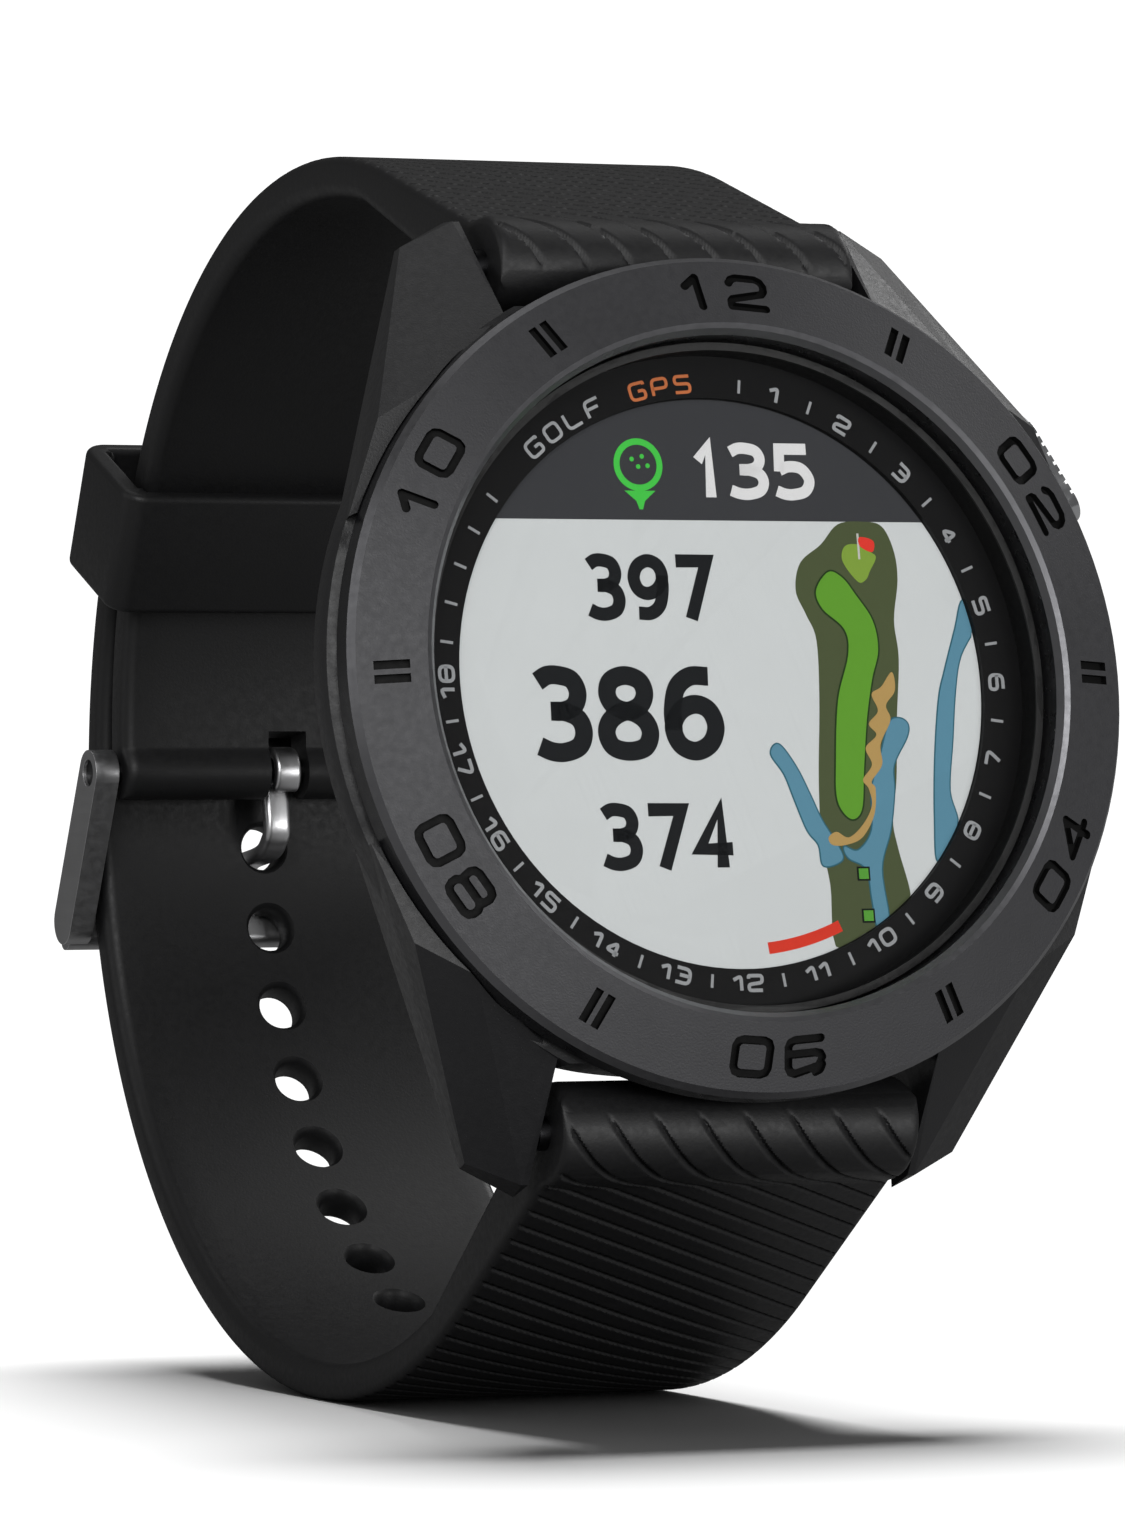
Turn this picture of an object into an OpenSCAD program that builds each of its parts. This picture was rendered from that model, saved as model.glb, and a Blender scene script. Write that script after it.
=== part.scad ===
// Golf GPS watch, buckled and standing on the bottom of its strap loop.
// Everything is drawn in the watch's own frame: X to 3 o'clock, Z to 12 o'clock, Y from the
// face towards the wrist, with Y = 0 half way up the sloping bezel. stand() then leans the
// watch back and lifts it, so that the strap rests on Z = 0.

/* [Stance] */
// Lean of the watch away from its face, in degrees
lean = 10; // [6:1:14]

/* [Case] */
// Outside diameter of the case
case_d = 45.4; // [45:0.1:46]
// Depth of the case's flat back behind the middle of the bezel
case_back_y = 11.0; // [10.8:0.1:11.4]
// Diameter of the inside of the case
case_bore_d = 36.8; // [36.6:0.1:37]
// Gap between the lugs, the size of strap that fits
lug_gap = 22.2; // [22:0.1:22.4]
// Distance of each lug pin from the centre, towards 12 or 6 o'clock
pin_z = 23.2; // [23:0.1:23.4]
// Depth of the lug pins behind the middle of the bezel
pin_y = 7.4; // [7.2:0.1:7.6]
// Diameter of the lug pins
pin_d = 1.8; // [1.6:0.1:2]

/* [Bezel] */
// Outer diameter of the bezel
bezel_d = 44.9; // [44.6:0.1:45]
// Slope of the bezel's face, in degrees
bezel_slope = 19; // [16:1:21]
// Depth of the engraved bars and numerals
engraving = 0.35; // [0.2:0.05:0.4]
// Width of the engraved strokes
stroke_w = 0.46; // [0.35:0.01:0.55]

/* [Display] */
// Diameter of the visible display
display_d = 30.6; // [30:0.1:30.8]
// Thickness of the cover lens
lens_t = 1.2; // [1:0.1:1.2]

/* [Key] */
// Clock angle of the push key, in degrees from 12 o'clock
key_angle = 60; // [56:1:64]
// Travel of the push key
key_travel = 0.5; // [0.3:0.1:0.5]

/* [Strap] */
// Width of the strap
strap_w = 20.7; // [20.5:0.1:20.9]
// Outer radius of the short strap's loop
short_r = 31.9; // [31.8:0.1:32]
// Outer radius of the long strap's loop
long_r = 34.85; // [34.8:0.05:34.9]
// Thickness of the short strap behind the wrist
short_t = 2.3; // [2.2:0.1:2.4]
// Thickness of the long strap
long_t = 2.1; // [2:0.05:2.1]
// Diameter of the holes in the long strap
hole_d = 2.6; // [2.5:0.1:2.7]
// Distance between the holes, along the middle of the strap
hole_pitch = 5.04; // [5:0.01:5.1]

/* [Keeper and buckle] */
// Width of the keeper along the strap
keeper_len = 7.4; // [6.5:0.1:7.6]
// Outside width of the buckle
buckle_w = 24.4; // [24:0.1:24.8]
// Width of the buckle's tongue
tongue_w = 1.6; // [1.4:0.1:1.8]

/* [Hidden] */
$fn = 64;
eps = 0.01;

// Radii and depths of the case
case_r = case_d / 2;
bore_r = case_bore_d / 2;
front_r = 18.0;        // opening in the front of the case
shoulder_y = 3.0;      // step beside the bezel
back_plate_y = 9.2;    // where the back cover seats
back_r = 20.6;
puck_r = 16;
screw_ring_r = 19.5;

// Bezel
bezel_r = bezel_d / 2;
bar_r = 20.4;          // where the sloping face crosses Y = 0
bezel_foot_y = 2.4;
rim_r = 18.62;         // inner edge of the sloping face
digit_h = 2.25;
digit_w = 2.45;
digit_step = 4.35;     // half the clock angle between the two digits of a number

// Front stack, from the lens to the display
lens_y = -0.05;
lens_r = 17.9;
lens_foot = lens_y + lens_t;
seal_t = 0.15;
display_y = 3.3;
display_t = 1.2;

// Movement
floor_y = 4.9;         // chassis floor
board_y = 5.6;
board_t = 0.8;
chassis_r = bore_r - 0.2;
module_r = 16.7;

// Straps, in the plane of the loop: [depth, height]
pin = [pin_y, pin_z];
half_lug = lug_gap / 2;
tip_r = 0.42;              // tips of the lug pins
tip_len = 0.9;
knuckle_r = 2.7;
short_c = [33.2, 2.5];
long_c = [34.4, -0.5];     // drawn upside down, as the long strap is
short_half = 1.95;         // half thickness at the lug pin
long_half = 2.1;
short_end = 5.5;           // angles where the loops end
long_end = -35;
tongue_hole = -1.7;        // angle of the hole that the tongue is in
holes_below = 7;
holes_above = 2;

// Heading of a strap as it leaves its lug pin, tangent to its loop
function heading(c, r, a) =
    let (d = pin - c) atan2(d[1], d[0]) - 90 - acos((r - a) / norm(d));
short_h = heading(short_c, short_r, short_half);
long_h = heading(long_c, long_r, long_half);
function along(h) = [cos(h), sin(h)];
function across(h) = [-sin(h), cos(h)];
function on_circle(c, r, a) = c + r * [cos(a), sin(a)];
function arc(c, r, a0, a1, n = 24) = [for (i = [0:n]) on_circle(c, r, a0 + (a1 - a0) * i / n)];

// Buckle
bar = on_circle(short_c, short_r - short_t / 2, short_end);
bar_d = 1.5;
eye_r = 1.6;
arm_t = 1.45;
arm_r = 1.35;
crossbar_a = -5;           // seen from the long strap's centre, right way up
crossbar_c = [long_c[0], -long_c[1]];
crossbar_t = 1.4;
crossbar_h = 3.0;
arm_end = [69.4, -2.5];
notch_w = 2.4;
tongue_t = 0.95;
tongue_back = [71.3, -1.2];    // rearmost bend of the tongue

// Keeper
keeper_c = [33.8, 1.5];
keeper_a = 33.8;
keeper_in = 29.1;
keeper_out = 35.3;
keeper_wall = 1.1;
keeper_side = 1.3;

// Quick release, measured along the strap from the lug pin
latch_travel = 1.2;
clip_w = 10;

// How far the watch reaches to the front and the rear of its centre once it leans, and the
// height of its centre above the surface it stands on
front_reach = (rim_r - bar_r) * tan(bezel_slope) * cos(lean) - rim_r * sin(lean);
rear_reach = tongue_back[0] * cos(lean) + tongue_back[1] * sin(lean) + tongue_t / 2;
lowest = long_r + long_c[1] * cos(lean) + long_c[0] * sin(lean);

module stand() translate([0, -(front_reach + rear_reach) / 2, lowest]) rotate([-lean, 0, 0])
    children();

// A ring or disc about the watch's axis, from depth y0 to y1
module disc(r, y0, y1) translate([0, y0, 0]) rotate([-90, 0, 0]) cylinder(r = r, h = y1 - y0, $fn = 128);
module ring(r, hole, y0, y1) difference() {
    disc(r, y0, y1);
    disc(hole, y0 - 1, y1 + 1);
}
// A turned shape about the watch's axis, drawn as [radius, depth]
module turned(points) rotate([-90, 0, 0]) rotate_extrude($fn = 128)
    polygon([for (p = points) [p[0], p[1]]]);
// Places a child at a clock angle, with its Z axis pointing outwards
module at_clock(a) rotate([0, a, 0]) children();
// A cylinder across the watch, centred on [depth, height]
module across_x(p, r, w) translate([-w / 2, p[0], p[1]]) rotate([0, 90, 0]) cylinder(r = r, h = w);
// A flat outline in the plane of the loop, w wide
module slab(w) rotate([90, 0, 90]) linear_extrude(w, center = true) children();
module block(x0, x1, y0, y1, z0, z1) translate([x0, y0, z0]) cube([x1 - x0, y1 - y0, z1 - z0]);
module torus(major, minor) rotate_extrude() translate([major, 0]) circle(minor, $fn = 24);

// ---- Case -------------------------------------------------------------------------------

// One faceted lug, for the upper right corner: two front facets that meet in a ridge, a side
// that closes in towards the wrist, and a foot that runs into the case
module lug() {
    ridge = [[11.5, 8.2, 25.8], [16.1, 1.75, 15.6]];
    outer_edge = [[14.3, 9.0, 24.5], [19.2, 2.3, 13.8], [21.2, 2.4, 8.6]];
    inner_edge = [[half_lug, 8.2, 25.8], [half_lug, 3.4, 19.8], [half_lug, 3.0, 13.0], [13.0, 1.6, 12.0]];
    rear = [[half_lug, 10.2, 26.2], [14.0, 10.4, 24.6], [15.1, 10.5, 19.5], [17.6, 8.6, 12.4],
        [20.1, 7.0, 8.4], [half_lug, 9.6, 15.0]];
    corners = concat(ridge, outer_edge, inner_edge, rear);
    hull() polyhedron(corners, [[for (i = [0:len(corners) - 1]) i]]);
}

module key_places() at_clock(key_angle) translate([0, 5.0, 0]) children();

module mid_case() color("#2b2b2d") difference() {
    union() {
        turned([[0, 2.6], [22.1, 2.6], [22.1, shoulder_y], [case_r, shoulder_y + 0.15], [case_r, 4.9],
            [case_r - 0.9, 6.8], [back_r, back_plate_y], [0, back_plate_y]]);
        for (s = [0, 1], t = [0, 1]) mirror([s, 0, 0]) mirror([0, 0, t]) lug();
    }
    disc(bezel_r + 0.06, -3, 2.6);
    disc(front_r, 0, 5);
    disc(bore_r, 4.0, 20);
    // the back of the lugs is relieved round the back cover
    ring(back_r + 0.1, bore_r, back_plate_y, 20);
    // space for the strap ends between the lugs
    for (t = [0, 1]) mirror([0, 0, t]) block(-half_lug, half_lug, 3.0, 20, 20.1, 40);
    // blind holes for the tips of the lug pins
    for (t = [0, 1]) mirror([0, 0, t]) across_x(pin, tip_r + 0.03, lug_gap + 2 * tip_len + 0.1);
    // back cover screws
    for (a = [45:90:315]) at_clock(a) translate([0, 5.4, screw_ring_r]) rotate([-90, 0, 0])
        cylinder(r = 0.62, h = 6);
    // pocket and bore for the push key, with room inside for its clip
    key_places() {
        translate([0, 0, 21.2]) key_outline(0.1, 5);
        cylinder(r = 0.95, h = 30);
        translate([0, 0, 20.2]) cylinder(r = 1.35, h = 10);
        translate([0, 0, 17]) cylinder(r = 1.6, h = 1.5);
    }
}

// Engraved strokes of the bezel's numerals, as polylines on a 1 by 1 grid
function corner(x, y, sx, sy) = [[x + 0.2 * sx, y], [x + 0.06 * sx, y + 0.06 * sy], [x, y + 0.2 * sy]];
function strokes(n) =
    n == 0 ? [concat(corner(0, 0, 1, 1), reversed(corner(0, 1, 1, -1)), corner(1, 1, -1, -1),
        reversed(corner(1, 0, -1, 1)), [[0.2, 0]])]
    : n == 1 ? [[[0.28, 0.72], [0.64, 1], [0.64, 0]]]
    : n == 2 ? [[[0, 0.8], [0.08, 0.93], [0.22, 1], [0.78, 1], [0.93, 0.92], [1, 0.78], [1, 0.62],
        [0.92, 0.5], [0.06, 0.26], [0, 0.18], [0, 0], [1, 0]]]
    : n == 4 ? [[[0.76, 0], [0.76, 1], [0, 0.27], [1, 0.27]]]
    : n == 6 ? [concat([[0.95, 1]], corner(0, 1, 1, -1), reversed(corner(0, 0, 1, 1)),
        reversed(corner(1, 0, -1, 1)), [[1, 0.42], [0.94, 0.54], [0.8, 0.58], [0, 0.58]])]
    : [concat(corner(0, 0, 1, 1), [[0, 0.35], [0.08, 0.48], [0.2, 0.53], [0.8, 0.53], [0.92, 0.48],
        [1, 0.35]], reversed(corner(1, 0, -1, 1)), [[0.2, 0]]),
        concat([[0.2, 0.53], [0.07, 0.6]], reversed(corner(0.05, 1, 1, -1)), corner(0.95, 1, -1, -1),
        [[0.93, 0.6], [0.8, 0.53]])];

module line_2d(p, q, w) {
    d = q - p;
    translate(p) rotate(atan2(d[1], d[0])) translate([0, -w / 2]) square([norm(d), w]);
    translate(p) circle(w / 2, $fn = 16);
    translate(q) circle(w / 2, $fn = 16);
}

module digit(n) for (path = strokes(n), i = [0:len(path) - 2])
    line_2d([(path[i][0] - 0.5) * (digit_w - stroke_w), (path[i][1] - 0.5) * (digit_h - stroke_w)],
        [(path[i + 1][0] - 0.5) * (digit_w - stroke_w), (path[i + 1][1] - 0.5) * (digit_h - stroke_w)],
        stroke_w);

// Sinks an outline into the sloping face at a clock angle
module engrave(a) at_clock(a) translate([0, 0, bar_r]) rotate([90 - bezel_slope, 0, 0])
    translate([0, 0, -engraving]) linear_extrude(engraving + 1) children();

module bezel() color("#4a4a4d") {
    in_r = 18.05;
    rise = tan(bezel_slope);
    difference() {
        turned([[in_r, bezel_foot_y], [in_r, -0.09], [18.34, -0.47], [rim_r, (rim_r - bar_r) * rise],
            [22.15, (22.15 - bar_r) * rise], [bezel_r, 1.1], [bezel_r, bezel_foot_y]]);
        for (h = [1, 3, 5, 7, 9, 11], s = [-1, 1])
            engrave(30 * h) translate([s * 0.37 - stroke_w / 2, -0.95]) square([stroke_w, 1.9]);
        // numbers in the lower half are turned round, so that all of them read upright
        for (h = [2:2:12]) {
            up = h > 3 && h < 9 ? -1 : 1;
            engrave(30 * h - up * digit_step) rotate(90 - up * 90) digit(floor(h / 10));
            engrave(30 * h + up * digit_step) rotate(90 - up * 90) digit(h % 10);
        }
    }
}

module bezel_seal() color("#151515") ring(21.4, 18.8, bezel_foot_y, 2.6);

// ---- Front stack ------------------------------------------------------------------------

module lens() color("#c8d2d8") difference() {
    disc(lens_r, lens_y, lens_foot);
    // polished chamfer round the rim
    turned([[lens_r - 0.15, lens_y - 1], [lens_r - 0.15, lens_y], [lens_r + 0.1, lens_y + 0.25],
        [lens_r + 1, lens_y + 0.25], [lens_r + 1, lens_y - 1]]);
}
module lens_seal() color("#101010") ring(lens_r, 17.5, lens_foot, lens_foot + seal_t);
module touch_layer() color("#8fa0aa") disc(17.4, lens_foot, lens_foot + seal_t);
module chapter_ring() color("#101012") {
    ring(front_r - 0.05, 17.55, lens_foot + seal_t, display_y);
    ring(17.8, display_d / 2, 2.95, display_y);
}
module display_module() color("#1c2226") difference() {
    union() {
        disc(module_r, display_y, display_y + display_t);
        ring(chassis_r - 0.7, module_r - eps, display_y + 0.75, display_y + display_t);
    }
    // notch in the flange for the push key
    key_places() block(-2.2, 2.2, -1.9, 0, module_r + 0.05, 19);
}
module display_plate() color("#9a9a9e") disc(14.2, display_y + display_t, floor_y);
module display_flex() color("#b5651d") {
    w = 3;
    block(-w, w, display_y + display_t, display_y + display_t + 0.1, -16.0, -14.5);
    block(-w, w, display_y + display_t, board_y, -16.0, -15.88);
    block(-w, w, board_y - 0.1, board_y, -16.0, -14.0);
}

// ---- Movement ---------------------------------------------------------------------------

module chassis() color("#3a3f44") difference() {
    union() {
        ring(chassis_r, chassis_r - 1.3, display_y + display_t + eps, 8.0);
        disc(chassis_r - 1, floor_y, floor_y + 0.6);
    }
    block(-3.4, 3.4, 4, 6, -16.4, -13.6);
    // window for the key's switch
    key_places() block(-2.6, 2.6, -1.9, 2.5, 14.7, 19.6);
}
module main_board() color("#1d5c34") difference() {
    disc(chassis_r - 1.5, board_y, board_y + board_t);
    key_places() block(-2.8, 2.8, -2.1, 2.5, 14.9, 18.6);
}
module processor_shield() color("#b8bcc0") block(-2, 8, board_y + board_t, 7.8, 8, 13.4);
module gps_antenna() color("#d8cfae") block(11.4, 14.6, board_y + board_t, 8.0, -4, 4.5);
module battery() color("#8e959c") translate([0, 0, -4]) disc(11, board_y + board_t, 9.0);
module battery_pad() color("#2a2a2a") translate([0, 0, -4]) disc(8, 9.0, back_plate_y);
module vibration_motor() color("#c0c0c0") translate([-9.7, 0, 7.7]) disc(3.9, board_y + board_t, 9.0);

// ---- Back -------------------------------------------------------------------------------

module back_cover() color("#242426") difference() {
    union() {
        turned([[0, back_plate_y], [back_r, back_plate_y], [back_r - 0.3, 10.0], [back_r - 0.9, 10.3],
            [puck_r + 0.8, 10.3], [puck_r, case_back_y], [0, case_back_y]]);
        // spigot with the groove of the seal
        turned([[17.0, back_plate_y + eps], [17.0, 8.1], [bore_r - 0.1, 8.1], [bore_r - 0.1, 8.3],
            [bore_r - 0.8, 8.3], [bore_r - 0.8, 9.0], [bore_r - 0.1, 9.0],
            [bore_r - 0.1, back_plate_y + eps]]);
    }
    for (a = [45:90:315]) at_clock(a) translate([0, 8, screw_ring_r]) rotate([-90, 0, 0]) {
        cylinder(r = 0.7, h = 4);
        translate([0, 0, 1.9]) cylinder(r = 0.95, h = 4);
    }
    contact_places() cylinder(r = 0.75, h = 6);
}
module back_seal() color("#7a1f1f") translate([0, 8.65, 0]) rotate([-90, 0, 0])
    torus(bore_r - 0.36, 0.34);
module back_screws() color("#c9c9cc") for (a = [45:90:315]) at_clock(a)
    translate([0, 0, screw_ring_r]) difference() {
        union() {
            translate([0, 5.6, 0]) rotate([-90, 0, 0]) cylinder(r = 0.6, h = 4.4);
            translate([0, 9.9, 0]) rotate([-90, 0, 0]) cylinder(r = 0.9, h = 0.35);
        }
        translate([0, 9.95, 0]) rotate([-90, 0, 0]) cylinder(r = 0.45, h = 1, $fn = 6);
    }
module contact_places() for (x = [-3:2:3]) translate([x, 7.9, 11]) rotate([-90, 0, 0]) children();
module charging_contacts() color("#d9b65a") contact_places() {
    cylinder(r = 0.74, h = 2.9);
    cylinder(r = 0.55, h = case_back_y - 0.1 - 7.9);
}

// ---- Push key, drawn along Z with its travel towards -Z ---------------------------------

module key_outline(gap, h) linear_extrude(h) {
    square([4.0, 2.8 + 2 * gap], center = true);
    for (s = [-1, 1]) translate([s * 2.0, 0]) circle(1.4 + gap);
}
module action_key() color("#d5d7da") key_places() {
    difference() {
        translate([0, 0, 22.0]) key_outline(0, 2.35);
        for (x = [-1.8:0.6:1.8]) translate([x - 0.1, -3, 24.2]) cube([0.2, 6, 1]);
    }
    difference() {
        translate([0, 0, 17.25]) cylinder(r = 0.9, h = 5);
        for (z = [18.7, 19.4]) translate([0, 0, z]) difference() {
            cylinder(r = 1.2, h = 0.45);
            cylinder(r = 0.5, h = 0.45);
        }
        translate([0, 0, 18.18]) difference() {
            cylinder(r = 1.2, h = 0.32);
            cylinder(r = 0.6, h = 0.32);
        }
    }
}
module key_seals() color("#1a1a1a") key_places() for (z = [18.7, 19.4])
    translate([0, 0, z + 0.225]) torus(0.73, 0.215);
module key_clip() color("#b0b0b0") key_places() translate([0, 0, 18.2]) difference() {
    cylinder(r = 1.5, h = 0.28);
    cylinder(r = 0.62, h = 1, center = true);
    translate([-0.45, 0, -1]) cube([0.9, 3, 3]);
}
module key_spring() color("#cfcfcf") key_places() for (i = [0:2])
    translate([0, 0, 20.4 + 0.6 * i]) torus(1.14, 0.15);
module key_switch() color("#303236") key_places() {
    block(-2.2, 2.2, -0.45, 2.0, 14.9, 16.1);
    translate([0, 0, 15.5]) cylinder(r = 0.44, h = 1.24);
}

// ---- Lug pins and straps ----------------------------------------------------------------

// A spring bar, with a thin tip at each end
module lug_pin() color("#c4c6c9") {
    across_x(pin, pin_d / 2, lug_gap - 0.3);
    across_x(pin, tip_r, lug_gap + 2 * tip_len);
}
module upper_lug_pin() lug_pin();
module lower_lug_pin() mirror([0, 0, 1]) lug_pin();

// Places a child at the lug pin, with Y along the strap and Z towards its outer face
module from_pin(h) translate([0, pin[0], pin[1]]) rotate([h, 0, 0]) children();

// Half the loop, from the knuckle round its lug pin to its free end
module half_loop(c, r, t, half, h, end) {
    start = pin - 0.6 * along(h);
    slab(strap_w) polygon(concat([start + half * across(h)], arc(c, r, 90 + h, end, 30),
        arc(c, r - t, end, 90 + h - 6, 30), [start - half * across(h)]));
    across_x(pin, knuckle_r, strap_w);
}

// Space that the quick release takes inside the end of a strap
module release_space(h) {
    across_x(pin, pin_d / 2 + 0.05, 60);
    across_x(pin, 1.75, clip_w + 0.2);
    from_pin(h) {
        block(-clip_w / 2 - 0.06, clip_w / 2 + 0.06, 1.2, 9.6, -0.62, 0.12);
        block(-4.2, 4.2, 4.4, 9.6, -3, -0.5);
        block(-3.1, 3.1, 1.5, 5, -3, -0.5);
    }
}
module strap_clip(h) color("#b9bcc0") difference() {
    union() {
        across_x(pin, 1.7, clip_w);
        from_pin(h) block(-clip_w / 2, clip_w / 2, 1.0, 9.4, -0.5, 0.0);
    }
    across_x(pin, pin_d / 2 + 0.05, 60);
}
module release_latch(h) color("#8b8e92") from_pin(h) {
    block(-4.1, 4.1, 4.6, 6.9, -1.7, -0.6);
    block(-3.0, 3.0, 1.9, 4.7, -1.7, -1.0);
    block(-3.2, 3.2, 5.0, 5.5, -2.1, -1.6);
}
module latch_spring(h) color("#cfcfcf") from_pin(h) for (x = [-2, 2], i = [0:2])
    translate([x, 7.3 + 0.7 * i, -1.15]) rotate([-90, 0, 0]) torus(0.34, 0.12);

module upper_strap() color("#1f1f21") difference() {
    union() {
        half_loop(short_c, short_r, short_t, short_half, short_h, short_end - 0.8);
        across_x(bar, eye_r, strap_w);
    }
    release_space(short_h);
    across_x(bar, bar_d / 2, 60);
    // notch for the tongue
    translate([-notch_w / 2, bar[0] - 4, bar[1] - 4]) cube([notch_w, 8, 6.2]);
}
module upper_strap_clip() strap_clip(short_h);
module upper_release_latch() release_latch(short_h);
module upper_latch_spring() latch_spring(short_h);

module strap_hole(a) translate([0, long_c[0], long_c[1]]) rotate([a, 0, 0])
    translate([0, long_r - long_t - 1, 0]) rotate([-90, 0, 0]) cylinder(r = hole_d / 2, h = long_t + 2);
module lower_strap() color("#1f1f21") mirror([0, 0, 1]) difference() {
    half_loop(long_c, long_r, long_t, long_half, long_h, long_end);
    release_space(long_h);
    for (i = [-holes_above:holes_below])
        strap_hole(tongue_hole + i * hole_pitch / (long_r - long_t / 2) * 180 / PI);
    for (s = [-1, 1]) strap_corner(s);
}
// Cuts one corner off the free end of the long strap
module strap_corner(s) translate([0, long_c[0], long_c[1]]) rotate([long_end, 0, 0]) {
    r = 5;
    translate([s * (strap_w / 2 - r / 2), 33, r / 2]) difference() {
        cube([r + 0.2, 12, r + 0.2], center = true);
        translate([-s * r / 2, 0, r / 2]) rotate([90, 0, 0]) cylinder(r = r, h = 20, center = true);
    }
}
module lower_strap_clip() mirror([0, 0, 1]) strap_clip(long_h);
module lower_release_latch() mirror([0, 0, 1]) release_latch(long_h);
module lower_latch_spring() mirror([0, 0, 1]) latch_spring(long_h);

// ---- Keeper and buckle ------------------------------------------------------------------

// A rectangle with round corners, from two squares and four circles
module rounded(w, h, r) {
    square([w - 2 * r, h], center = true);
    square([w, h - 2 * r], center = true);
    for (s = [-1, 1], t = [-1, 1]) translate([s * (w / 2 - r), t * (h / 2 - r)]) circle(r);
}
module keeper() color("#1f1f21") translate([0, keeper_c[0], keeper_c[1]]) rotate([keeper_a, 0, 0])
    translate([0, (keeper_in + keeper_out) / 2, 0]) linear_extrude(keeper_len, center = true)
        difference() {
            rounded(strap_w + 0.6 + 2 * keeper_side, keeper_out - keeper_in + 2 * keeper_wall, 2.2);
            rounded(strap_w + 0.6, keeper_out - keeper_in, 0.6);
        }

module buckle_bar() color("#c4c6c9") across_x(bar, bar_d / 2, buckle_w - 0.4);

module bar_to_end() {
    d = arm_end - bar;
    translate(bar) {
        circle(arm_r);
        rotate(atan2(d[1], d[0])) translate([0, -arm_r]) square([norm(d), 2 * arm_r]);
    }
    translate(arm_end) circle(arm_r);
}
module buckle_frame() color("#6d7074") {
    difference() {
        for (s = [-1, 1]) translate([s * (buckle_w - arm_t) / 2, 0, 0]) slab(arm_t) bar_to_end();
        across_x(bar, bar_d / 2 + 0.05, 60);
    }
    translate([0, crossbar_c[0], crossbar_c[1]]) rotate([crossbar_a, 0, 0])
        translate([0, long_r + 0.12 + crossbar_t / 2, 0]) rotate([90, 0, 90])
            linear_extrude(buckle_w - 0.6, center = true) rounded(crossbar_t, crossbar_h, 0.6);
}
// Points at a distance d to the left of a path, and the strip of width w that follows it
function beside(path, d) = [for (i = [0:len(path) - 1])
    let (u = path[min(i + 1, len(path) - 1)] - path[max(i - 1, 0)])
    path[i] + d / norm(u) * [-u[1], u[0]]];
function reversed(p) = [for (i = [len(p) - 1:-1:0]) p[i]];
module strip(path, w) polygon(concat(beside(path, w / 2), reversed(beside(path, -w / 2))));

module buckle_tongue() color("#d5d7da") difference() {
    union() {
        across_x(bar, 1.5, tongue_w);
        slab(tongue_w) strip([bar + [0.9, -0.6], [64.9, 2.4], [65.5, 1.6], [66.3, 1.17], [67.6, 1.05],
            [69.6, 1.05], [70.5, 0.72], [71.1, -0.1], tongue_back, tongue_back - [0, 2.7]], tongue_t);
    }
    across_x(bar, bar_d / 2 + 0.05, 60);
}

stand() mid_case();
stand() bezel();
stand() bezel_seal();
stand() lens();
stand() lens_seal();
stand() touch_layer();
stand() chapter_ring();
stand() display_module();
stand() display_plate();
stand() display_flex();
stand() chassis();
stand() main_board();
stand() processor_shield();
stand() gps_antenna();
stand() battery();
stand() battery_pad();
stand() vibration_motor();
stand() back_cover();
stand() back_seal();
stand() back_screws();
stand() charging_contacts();
stand() key_switch();
stand() action_key();
stand() key_seals();
stand() key_spring();
stand() key_clip();
stand() upper_lug_pin();
stand() lower_lug_pin();
stand() upper_strap();
stand() upper_strap_clip();
stand() upper_release_latch();
stand() upper_latch_spring();
stand() lower_strap();
stand() lower_strap_clip();
stand() lower_release_latch();
stand() lower_latch_spring();
stand() keeper();
stand() buckle_bar();
stand() buckle_frame();
stand() buckle_tongue();
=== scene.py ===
"""Looks of a round golf GPS watch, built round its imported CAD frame.

Lengths are in millimetres in the watch's own frame until to_row() takes them to the row frame:
X to 3 o'clock, Y from the face towards the wrist, Z to 12 o'clock, with the origin in the middle
of the bezel's sloping face.
"""
import math

import bmesh
import bpy
import numpy as np
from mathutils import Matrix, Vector

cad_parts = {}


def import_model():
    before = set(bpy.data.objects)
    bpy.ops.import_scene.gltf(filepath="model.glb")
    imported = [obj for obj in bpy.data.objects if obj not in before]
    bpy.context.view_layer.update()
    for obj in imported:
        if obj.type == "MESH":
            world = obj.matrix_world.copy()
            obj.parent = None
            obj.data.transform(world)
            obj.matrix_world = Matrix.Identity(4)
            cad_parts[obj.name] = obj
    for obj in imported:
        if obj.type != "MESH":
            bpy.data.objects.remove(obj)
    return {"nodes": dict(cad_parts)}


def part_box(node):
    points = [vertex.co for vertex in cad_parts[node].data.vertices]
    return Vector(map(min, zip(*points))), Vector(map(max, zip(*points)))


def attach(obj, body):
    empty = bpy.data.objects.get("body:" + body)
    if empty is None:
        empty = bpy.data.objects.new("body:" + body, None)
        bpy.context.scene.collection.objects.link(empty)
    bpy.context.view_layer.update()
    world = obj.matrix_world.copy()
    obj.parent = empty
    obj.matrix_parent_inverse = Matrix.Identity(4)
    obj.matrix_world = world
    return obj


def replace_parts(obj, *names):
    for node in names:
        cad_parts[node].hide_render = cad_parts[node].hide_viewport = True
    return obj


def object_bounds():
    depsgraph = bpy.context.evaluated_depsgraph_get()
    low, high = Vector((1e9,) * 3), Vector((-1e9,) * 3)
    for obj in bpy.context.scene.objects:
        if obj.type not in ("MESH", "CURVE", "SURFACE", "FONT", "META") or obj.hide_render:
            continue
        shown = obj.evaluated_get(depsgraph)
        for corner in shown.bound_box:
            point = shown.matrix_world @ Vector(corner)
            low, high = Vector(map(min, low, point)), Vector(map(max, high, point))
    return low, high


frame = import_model()
NODES = frame["nodes"]
cad_low, cad_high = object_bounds()

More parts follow.
